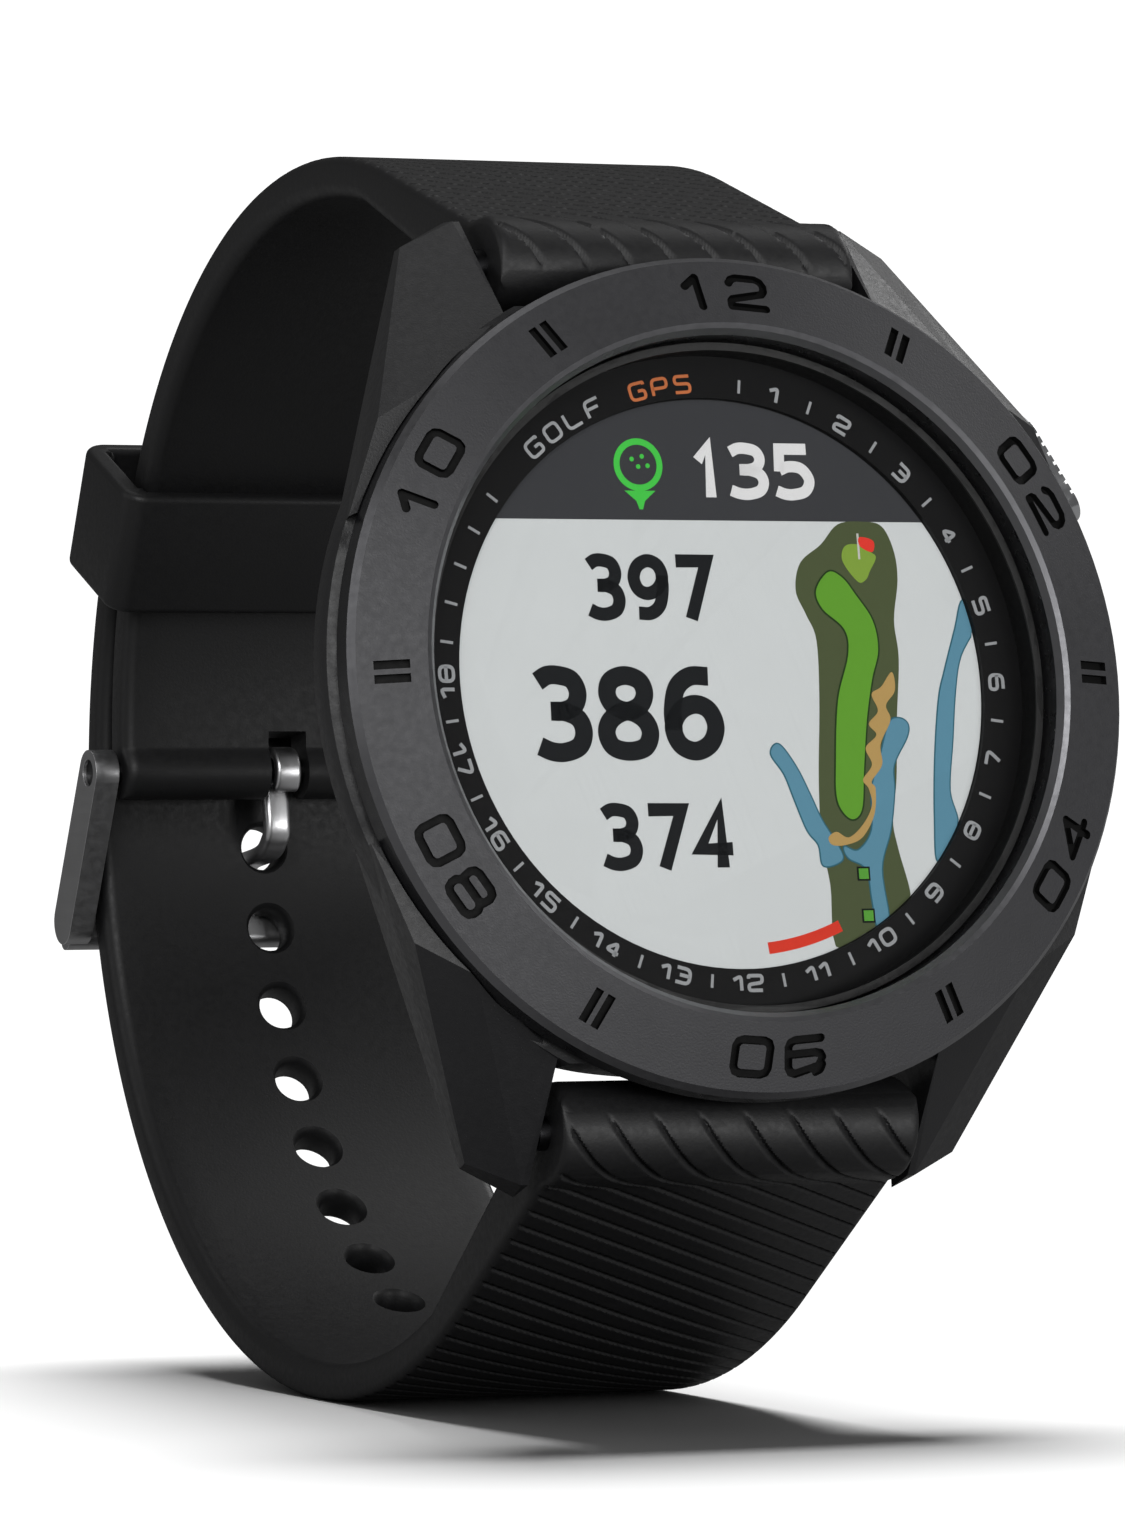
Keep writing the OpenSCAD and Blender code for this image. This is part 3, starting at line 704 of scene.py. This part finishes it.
def ribbon(path, width, closed=False):
    """Left and right points of a stroke along a path, with mitred corners."""
    path = [np.array(p, float) for p in path]
    count = len(path)
    left, right = [], []
    for i, p in enumerate(path):
        before = path[i - 1] if i or closed else None
        after = path[(i + 1) % count] if i < count - 1 or closed else None
        dirs = [d / np.hypot(*d) for d in ([] if before is None else [p - before])
                + ([] if after is None else [after - p])]
        d = sum(dirs)
        d = d / np.hypot(*d)
        widen = 1 / max(0.6, abs(float(d @ dirs[0])))
        n = np.array([-d[1], d[0]]) * width / 2 * widen
        left.append(p + n)
        right.append(p - n)
    return left, right


def softened(path, r, closed=False):
    """The path with its corners rounded off by r."""
    path = [np.array(p, float) for p in path]
    count = len(path)
    out = []
    for i, p in enumerate(path):
        if not closed and i in (0, count - 1):
            out.append(p)
            continue
        a, b = path[i - 1] - p, path[(i + 1) % count] - p
        la, lb = np.hypot(*a), np.hypot(*b)
        back = min(r, 0.45 * la, 0.45 * lb)
        s, e = p + a / la * back, p + b / lb * back
        for f in np.linspace(0, 1, 5):
            out.append((1 - f) ** 2 * s + 2 * f * (1 - f) * p + f * f * e)
    return out


def smooth_outline(points, steps=6):
    """A closed curve through the points."""
    points = [np.array(p, float) for p in points]
    n = len(points)
    out = []
    for i in range(n):
        a, b, c, d = (points[(i + k) % n] for k in (-1, 0, 1, 2))
        for f in np.arange(steps) / steps:
            out.append(0.5 * (2 * b + (c - a) * f + (2 * a - 5 * b + 4 * c - d) * f ** 2
                              + (3 * b - a - 3 * c + d) * f ** 3))
    return out


# Strokes of the ring's squarish numerals on a unit grid; a repeated first point closes a stroke
STROKES = {
    0: [[(0, 0), (1, 0), (1, 1), (0, 1), (0, 0)]],
    1: [[(0.25, 0.72), (0.62, 1), (0.62, 0)]],
    2: [[(0, 0.8), (0, 1), (1, 1), (1, 0.53), (0, 0.4), (0, 0), (1, 0)]],
    3: [[(0, 1), (1, 1), (1, 0), (0, 0)], [(0.25, 0.52), (1, 0.52)]],
    4: [[(0.75, 0), (0.75, 1), (0, 0.25), (1, 0.25)]],
    5: [[(1, 1), (0, 1), (0, 0.56), (1, 0.56), (1, 0), (0, 0)]],
    6: [[(0.95, 1), (0, 1), (0, 0), (1, 0), (1, 0.55), (0, 0.55)]],
    7: [[(0, 1), (1, 1), (0.45, 0)]],
    8: [[(0, 0), (1, 0), (1, 1), (0, 1), (0, 0)], [(0, 0.53), (1, 0.53)]],
    9: [[(0.05, 0), (1, 0), (1, 1), (0, 1), (0, 0.45), (1, 0.45)]],
}


class Figures:
    """Collects flat figures lying at one depth of the watch, to become one mesh."""

    def __init__(self, depth, thickness=0.03):
        self.depth, self.thickness = depth, thickness
        self.points, self.faces = [], []

    def outline(self, points):
        """A filled outline with an edge of its own thickness."""
        base, n = len(self.points), len(points)
        for y in (self.depth, self.depth - self.thickness):
            self.points += [(p[0], y, p[1]) for p in points]
        self.faces.append(tuple(range(base, base + n)))
        self.faces.append(tuple(range(base + 2 * n - 1, base + n - 1, -1)))
        self.faces += [(base + i, base + (i + 1) % n, base + n + (i + 1) % n, base + n + i)
                       for i in range(n)]

    def stroke(self, path, width):
        """A stroke with round corners, closed if the path ends where it starts."""
        closed = np.allclose(path[0], path[-1])
        self.band(softened(path[:-1] if closed else path, width * 1.6, closed), width, closed)

    def band(self, path, width, closed=False):
        left, right = ribbon(path, width, closed)
        base, n = len(self.points), len(path)
        for y in (self.depth, self.depth - self.thickness):
            self.points += [(p[0], y, p[1]) for p in left + right]
        for i in range(n if closed else n - 1):
            j = (i + 1) % n
            for a, b, c, d in ((i, j, n + j, n + i), (2 * n + i, 2 * n + j, 3 * n + j, 3 * n + i),
                               (i, j, 2 * n + j, 2 * n + i), (n + i, n + j, 3 * n + j, 3 * n + i)):
                self.faces.append((base + a, base + b, base + c, base + d))
        if not closed:
            for i in (0, n - 1):
                self.faces.append((base + i, base + n + i, base + 3 * n + i, base + 2 * n + i))

    def number(self, text, clock, radius, height, width, gap, stroke, turned=False):
        """A number centred at a clock angle, in degrees; turned puts its top towards the centre."""
        a = math.radians(clock)
        out = np.array([math.sin(a), math.cos(a)]) * (-1 if turned else 1)
        side = np.array([out[1], -out[0]])
        centre = np.array([math.sin(a), math.cos(a)]) * radius
        widths = [width * (0.62 if c == "1" else 1) for c in text]
        x = -(sum(widths) + gap * (len(text) - 1)) / 2
        for c, w in zip(text, widths):
            for path in STROKES[int(c)]:
                spread = 0.3 if c == "1" else 0.0
                pts = [centre + side * (x + (px - spread) / (1 - 2 * spread + 1e-9) * w)
                       + out * (py - 0.5) * height for px, py in path]
                self.stroke(pts, stroke)
            x += w + gap

    def piece(self, name, materials, body):
        return mesh_piece(name, self.points, self.faces, materials, body, sharp=30)


# ---- Chapter ring --------------------------------------------------------------------------

RING_FACE = 2.95
RING_R = 16.05
RING_DIGIT = 0.78               # height and width of a digit
RING_GAP = 0.34
RING_STROKE = 0.19
RING_TICK = 0.36                # half a tick's length


def ring_marks():
    marks = Figures(RING_FACE)
    for hole in range(1, 19):
        angle = 15 * hole
        marks.number(str(hole), angle, RING_R, RING_DIGIT, RING_DIGIT, RING_GAP, RING_STROKE,
                     turned=97.5 < angle < 262.5)
        marks_line(marks, angle - 7.5)
    for angle in (277.5, 285, 292.5, 300, 307.5):
        marks_line(marks, angle)
    return marks.piece("ring_numbers", [PRINT_PAINTED_GLOW], "case")


# Letters of the ring's lettering, drawn like the numerals
LETTERS = {
    "G": [[(1, 0.85), (1, 1), (0, 1), (0, 0), (1, 0), (1, 0.5), (0.55, 0.5)]],
    "O": [[(0, 0), (1, 0), (1, 1), (0, 1), (0, 0)]],
    "L": [[(0, 1), (0, 0), (1, 0)]],
    "F": [[(1, 1), (0, 1), (0, 0)], [(0, 0.5), (0.85, 0.5)]],
    "P": [[(0, 0), (0, 1), (1, 1), (1, 0.42), (0, 0.42)]],
    "S": [[(1, 1), (0, 1), (0, 0.53), (1, 0.53), (1, 0), (0, 0)]],
}


def ring_word(name, word, start, step, colour):
    """A word along the top of the ring, from a clock angle on."""
    marks = Figures(RING_FACE)
    for k, letter in enumerate(word):
        a = math.radians(start + k * step)
        out = np.array([math.sin(a), math.cos(a)])
        side = np.array([out[1], -out[0]])
        for path in LETTERS[letter]:
            marks.stroke([RING_R * out + 0.86 * ((px - 0.5) * side + (py - 0.5) * out)
                          for px, py in path], 0.17)
    # The printed letters are given a glow (glow 0.2): painted light, since printed ink gives off
    # none.
    material = surface(name + "_print", colour, 0.6, mottle=0.05, glow=0.2)
    return marks.piece(name, [material], "case")


def marks_line(marks, angle):
    a = math.radians(angle)
    e = np.array([math.sin(a), math.cos(a)])
    marks.stroke([(RING_R - RING_TICK) * e, (RING_R + RING_TICK) * e], 0.15)


ring_marks()
ring_word("ring_word", "GOLF", 321, 5.0, (0.32, 0.33, 0.34))
ring_word("ring_word_orange", "GPS", 346, 4.8, (0.5, 0.13, 0.03))


# ---- Display picture -----------------------------------------------------------------------

DISPLAY_FACE = 3.3
DISPLAY_R = 15.28


def ink(name, colour, glow=0.5):
    return surface(name, colour, 0.5, mottle=0.02, uneven=0.03, glow=glow, specular=0.1)


def disc_part(low=-99.0, high=99.0, r=DISPLAY_R, n=180):
    """Outline of the part of a disc between two heights."""
    turns = np.linspace(0, 2 * math.pi, n, endpoint=False)
    return [np.array([r * math.cos(a) if low < r * math.sin(a) < high else
                      math.copysign(math.sqrt(max(0.0, r * r - min(high, max(low, r * math.sin(a)))
                                                  ** 2)), math.cos(a)),
                      min(high, max(low, r * math.sin(a)))]) for a in turns]


def inside(points, r=DISPLAY_R - 0.02):
    """Keeps an outline within the display."""
    return [p * min(1.0, r / np.hypot(*p)) for p in points]


def picture(name, colour, layer, outlines, glow=0.5):
    shape = Figures(DISPLAY_FACE - 0.012 * layer, 0.012)
    for points in outlines:
        shape.outline(inside(points))
    return shape.piece(name, [ink(name, colour, glow)], "case")


HEADER_Z = 8.75
ROUGH = [(9.0, 8.75), (7.5, 8.6), (6.4, 7.5), (5.1, 6.5), (4.7, 5.0), (5.2, 3.7), (5.7, 2.3),
         (5.6, -0.9), (5.2, -5.2), (5.1, -8.4), (5.4, -10.8), (5.7, -14.4), (9.6, -12.3),
         (10.1, -11.4), (9.6, -9.0), (9.4, -7.4), (9.8, -5.2), (10.1, -2.0), (10.5, 1.3),
         (10.4, 3.4), (10.8, 5.6), (10.7, 7.2), (10.1, 8.5)]
FAIRWAY = [(6.7, 6.0), (5.9, 5.0), (6.2, 4.0), (7.4, 2.9), (7.5, 1.5), (6.7, -0.9), (6.3, -4.1),
           (6.2, -6.3), (6.9, -7.3), (7.6, -6.8), (7.9, -4.7), (8.3, -2.0), (8.8, 0.2), (9.3, 1.8),
           (9.1, 3.4), (8.2, 4.8), (7.5, 5.7)]
GREEN = [(7.8, 7.4), (7.6, 6.6), (8.4, 5.5), (8.9, 5.6), (9.2, 6.1), (9.6, 6.8), (9.3, 7.1),
         (8.6, 7.5)]
BUNKER = [(10.0, 0.6), (9.3, -0.2), (8.7, -0.6), (9.0, -1.5), (8.4, -2.2), (8.8, -2.8), (8.1, -3.5),
          (8.4, -4.4), (7.8, -5.2), (8.1, -5.7), (8.2, -6.6), (7.6, -7.6), (6.7, -8.3), (6.0, -8.0),
          (5.5, -8.3), (5.7, -8.7), (6.5, -8.7), (7.5, -8.3), (8.3, -7.1), (8.5, -5.7), (8.3, -5.3),
          (9.0, -4.4), (9.0, -3.3), (9.7, -2.0), (9.5, -1.2), (10.1, -0.4)]
LEFT_CREEK = [(3.0, -3.3), (2.5, -3.8), (3.2, -4.9), (3.7, -6.3), (4.3, -7.9), (4.9, -8.7),
              (5.1, -9.8), (6.2, -9.5), (6.0, -8.7), (5.2, -7.4), (4.6, -6.0), (3.9, -4.5)]
RIGHT_CREEK = [(10.2, -1.9), (9.6, -2.2), (8.9, -4.1), (8.3, -5.7), (8.1, -7.9), (7.2, -9.0),
               (6.4, -8.8), (6.6, -9.4), (7.6, -10.0), (7.8, -11.6), (8.0, -13.1), (8.7, -12.9),
               (8.5, -10.0), (9.2, -7.9), (9.6, -5.8), (9.7, -4.4), (10.6, -2.9), (10.7, -2.2)]
LAKE = [(14.6, 4.5), (15.4, 3.5), (14.2, 1.5), (13.7, -0.4), (13.3, -3.1), (12.9, -5.8),
        (13.2, -7.7), (11.9, -9.6), (11.9, -7.4), (12.2, -4.1), (12.7, -0.9), (13.2, 0.7),
        (14.0, 2.9)]
TEES = [(7.4, -10.25), (7.5, -12.5)]
FLAG = (8.6, 6.7)
FLAG_CLOTH = [(8.7, 7.9), (9.5, 7.7), (9.4, 7.1), (8.7, 7.4)]


def square(centre, half):
    return [np.array(centre) + half * np.array(k) for k in ((-1, -1), (1, -1), (1, 1), (-1, 1))]


def grown(outline, by):
    """An outline pushed outwards by a small distance."""
    path = outline if by > 0 else outline[::-1]
    left, right = ribbon(path, 2 * abs(by), closed=True)
    area = sum(cross(a, b) for a, b in zip(path, path[1:] + path[:1]))
    return right if area > 0 else left


picture("display_field", (0.46, 0.48, 0.48), 0, [disc_part(high=HEADER_Z)])
picture("display_header", (0.03, 0.031, 0.034), 0, [disc_part(low=HEADER_Z)])
picture("map_rough", (0.052, 0.066, 0.028), 1, [smooth_outline(ROUGH)])
picture("map_fairway_line", (0.012, 0.03, 0.006), 2, [grown(smooth_outline(FAIRWAY), 0.1)])
picture("map_fairway", (0.085, 0.24, 0.02), 3, [smooth_outline(FAIRWAY)])
picture("map_green", (0.16, 0.26, 0.035), 3, [smooth_outline(GREEN)])
picture("map_creek_line", (0.02, 0.09, 0.12), 2,
        [grown(smooth_outline(c), 0.08) for c in (LEFT_CREEK, RIGHT_CREEK, LAKE)])
picture("map_creeks", (0.075, 0.19, 0.26), 3,
        [smooth_outline(c) for c in (LEFT_CREEK, RIGHT_CREEK, LAKE)])
picture("map_bunker", (0.34, 0.22, 0.075), 4, [smooth_outline(BUNKER)])
picture("map_tee_lines", (0.004, 0.006, 0.004), 4, [square(t, 0.38) for t in TEES])
picture("map_tees", (0.07, 0.25, 0.03), 5, [square(t, 0.28) for t in TEES])
picture("map_flag", (0.55, 0.03, 0.02), 5, [smooth_outline(FLAG_CLOTH)])


def flag_pole():
    pole = Figures(DISPLAY_FACE - 0.05, 0.012)
    pole.stroke([FLAG, (FLAG[0], FLAG[1] + 1.4)], 0.12)
    return pole.piece("map_flag_pole", [ink("map_pole", (0.4, 0.4, 0.36))], "case")


def pace_bar():
    """The curved red bar at the foot of the display."""
    bar = Figures(DISPLAY_FACE - 0.03, 0.012)
    turns = np.radians(np.linspace(174, 156, 12))
    bar.stroke([14.25 * np.array([math.sin(a), math.cos(a)]) for a in turns], 0.62)
    return bar.piece("pace_bar", [ink("pace_red", (0.5, 0.03, 0.015))], "case")


def ball_on_tee():
    """The header's sign: a dimpled ball standing on a tee."""
    sign = Figures(DISPLAY_FACE - 0.03, 0.012)
    ball = np.array([-4.0, 11.7])
    around = [ball + 1.25 * unit(a) for a in np.linspace(0, 2 * math.pi, 41)]
    sign.stroke(around, 0.34)
    for dx, dz in ((-0.35, 0.3), (0.25, 0.45), (0.0, -0.1), (0.55, -0.05)):
        sign.outline([ball + (dx, dz) + 0.13 * unit(a) for a in np.linspace(0, 6, 12)])
    sign.outline([np.array(p) for p in ((-4.9, 10.3), (-3.1, 10.3), (-3.75, 9.75), (-3.9, 9.3),
                                        (-4.1, 9.3), (-4.25, 9.75))])
    return sign.piece("header_sign", [ink("sign_green", (0.045, 0.42, 0.05))], "case")


flag_pole()
pace_bar()
ball_on_tee()


# Centre lines of the display's digits on a unit grid: closed curves, open curves, straight strokes
HOOK = [(0.97, 0.72), (0.97, 0.45), (0.84, 0.16), (0.52, 0.01), (0.1, 0.01)]
LOOP = [(0.5, 1.0), (0.15, 0.9), (0.0, 0.68), (0.13, 0.46), (0.45, 0.38), (0.8, 0.47), (0.98, 0.68),
        (0.85, 0.91)]
DIGITS = {
    "1": ([], [], [[(0.08, 0.72), (0.62, 1.05), (0.62, -0.09)]]),
    "3": ([], [[(0.02, 0.92), (0.25, 1.0), (0.52, 1.0), (0.8, 0.94), (0.92, 0.77), (0.82, 0.6),
                (0.55, 0.53), (0.28, 0.53)],
               [(0.28, 0.53), (0.6, 0.52), (0.9, 0.43), (1.0, 0.25), (0.88, 0.07), (0.55, -0.01),
                (0.25, 0.0), (-0.02, 0.07)]], []),
    "4": ([], [], [[(0.72, -0.09), (0.72, 1.02), (0.0, 0.26), (1.06, 0.26)]]),
    "5": ([], [[(0.1, 0.53), (0.4, 0.61), (0.78, 0.56), (1.0, 0.31), (0.86, 0.07), (0.5, -0.01),
                (0.22, 0.0), (-0.02, 0.07)]],
          [[(0.96, 1.0), (0.12, 1.0), (0.09, 0.5)]]),
    "6": ([[(1 - x, 1 - y) for x, y in LOOP]], [[(1 - x, 1 - y) for x, y in HOOK]], []),
    "7": ([], [], [[(-0.06, 1.0), (1.0, 1.0), (0.36, -0.1)]]),
    "8": ([[(0.5, 1.0), (0.17, 0.93), (0.07, 0.76), (0.2, 0.6), (0.5, 0.53), (0.8, 0.6),
            (0.93, 0.76), (0.83, 0.93)],
           [(0.5, 0.53), (0.14, 0.43), (0.0, 0.25), (0.13, 0.06), (0.5, 0.0), (0.87, 0.06),
            (1.0, 0.25), (0.86, 0.43)]], [], []),
    "9": ([LOOP], [HOOK], []),
}


def display_number(name, text, left, right, low, high, colour):
    """A bold number that fills a box of the display."""
    sign = Figures(DISPLAY_FACE - 0.03, 0.012)
    width = 0.2 * (high - low)
    gap = 0.06 * (high - low)
    shares = [0.72 if c == "1" else 1.0 for c in text]
    cell = (right - left - gap * (len(text) - 1)) / sum(shares)
    x = left
    for c, share in zip(text, shares):
        scale = np.array([cell * share - width, high - low - width])
        corner = np.array([x, low]) + width / 2
        closed, curves, straight = DIGITS[c]
        for path in closed:
            path = smooth_outline([corner + scale * p for p in path])
            sign.band(path, width, closed=True)
        for path in curves:
            sign.band(smooth_path([corner + scale * p for p in path]), width)
        for path in straight:
            sign.band([corner + scale * p for p in path], width)
        x += cell * share + gap
    return sign.piece(name, [ink(name, colour)], "case")


DARK_INK = (0.006, 0.007, 0.008)
display_number("number_front", "397", -7.7, -0.1, 3.35, 6.9, DARK_INK)
display_number("number_middle", "386", -11.3, -0.1, -4.15, 0.9, DARK_INK)
display_number("number_back", "374", -7.9, 0.1, -9.95, -6.4, DARK_INK)
display_number("number_header", "135", -0.9, 6.3, 9.9, 12.95, (0.55, 0.55, 0.55))


# ---- Camera, light and floor ---------------------------------------------------------------

def camera():
    data = bpy.data.cameras.new("camera")
    data.lens = 204.8
    data.sensor_width = 36
    data.clip_start, data.clip_end = 0.01, 50
    obj = bpy.data.objects.new("camera", data)
    bpy.context.scene.collection.objects.link(obj)
    obj.location = (-0.19881, -0.44559, 0.03872)
    toward = Vector((0.41497, 0.90981, -0.00736))
    obj.rotation_mode = "QUATERNION"
    obj.rotation_quaternion = toward.to_track_quat("-Z", "Y")
    bpy.context.scene.camera = obj


def softbox(name, place, target, size, power):
    data = bpy.data.lights.new(name, "AREA")
    data.shape = "RECTANGLE"
    data.size, data.size_y = size
    data.energy = power
    obj = bpy.data.objects.new(name, data)
    bpy.context.scene.collection.objects.link(obj)
    obj.location = place
    obj.rotation_mode = "QUATERNION"
    obj.rotation_quaternion = (Vector(target) - Vector(place)).to_track_quat("-Z", "Y")
    return obj


def floor():
    """A sheet that shows white but throws little light back up at the watch."""
    mesh = bpy.data.meshes.new("floor")
    half = 6.0
    mesh.from_pydata([(-half, -half, 0), (half, -half, 0), (half, half, 0), (-half, half, 0)], [],
                     [(0, 1, 2, 3)])
    obj = bpy.data.objects.new("floor", mesh)
    bpy.context.scene.collection.objects.link(obj)
    material = bpy.data.materials.new("floor_white")
    material.use_nodes = True
    tree = material.node_tree
    tree.nodes.clear()
    out = add(tree, "ShaderNodeOutputMaterial")
    seen = add(tree, "ShaderNodeBsdfDiffuse", Color=(0.95, 0.95, 0.95, 1))
    thrown = add(tree, "ShaderNodeBsdfDiffuse", Color=(0.2, 0.2, 0.2, 1))
    mix = add(tree, "ShaderNodeMixShader")
    path = add(tree, "ShaderNodeLightPath")
    tree.links.new(path.outputs["Is Camera Ray"], mix.inputs[0])
    tree.links.new(thrown.outputs[0], mix.inputs[1])
    tree.links.new(seen.outputs[0], mix.inputs[2])
    tree.links.new(mix.outputs[0], out.inputs["Surface"])
    mesh.materials.append(material)
    return obj


def light_floor_apart(sheet, softboxes):
    """An overhead light of its own for the floor, so that the watch's shadow stays soft."""
    data = bpy.data.lights.new("floor_light", "SUN")
    data.energy = 3.6
    data.angle = math.radians(32)
    overhead = bpy.data.objects.new("floor_light", data)
    overhead.rotation_mode = "QUATERNION"
    overhead.rotation_quaternion = Vector((-0.10, -0.26, -0.96)).to_track_quat("-Z", "Y")
    bpy.context.scene.collection.objects.link(overhead)
    for light, state in [(overhead, "INCLUDE")] + [(box, "EXCLUDE") for box in softboxes]:
        lit = bpy.data.collections.new(light.name + "_receivers")
        lit.objects.link(sheet)
        lit.collection_objects[0].light_linking.link_state = state
        light.light_linking.receiver_collection = lit


def world():
    space = bpy.data.worlds.new("studio")
    bpy.context.scene.world = space
    space.use_nodes = True
    tree = space.node_tree
    tree.nodes.clear()
    out = add(tree, "ShaderNodeOutputWorld")
    seen = add(tree, "ShaderNodeBackground", Strength=1.4)
    lit = add(tree, "ShaderNodeBackground", Strength=0.12)
    mix = add(tree, "ShaderNodeMixShader")
    path = add(tree, "ShaderNodeLightPath")
    tree.links.new(path.outputs["Is Camera Ray"], mix.inputs[0])
    tree.links.new(lit.outputs[0], mix.inputs[1])
    tree.links.new(seen.outputs[0], mix.inputs[2])
    tree.links.new(mix.outputs[0], out.inputs["Surface"])


camera()
world()
FLOOR = floor()
CENTRE = (cad_low + cad_high) / 2
SOFTBOXES = [softbox("key_light", (-0.32, -0.58, 0.32), CENTRE, (0.40, 0.40), 2.6),
             softbox("right_light", (0.56, 0.12, 0.48), CENTRE, (0.30, 0.30), 2.0),
             softbox("low_light", (0.15, -0.60, 0.06), CENTRE, (0.60, 0.11), 2.0),
             softbox("left_light", (-0.60, 0.10, 0.25), CENTRE, (0.30, 0.50), 0.55),
             softbox("top_light", (0.05, 0.15, 0.70), CENTRE, (0.60, 0.40), 0.7)]
light_floor_apart(FLOOR, SOFTBOXES)

bpy.context.scene.view_settings.view_transform = "Standard"
bpy.context.scene.view_settings.look = "None"
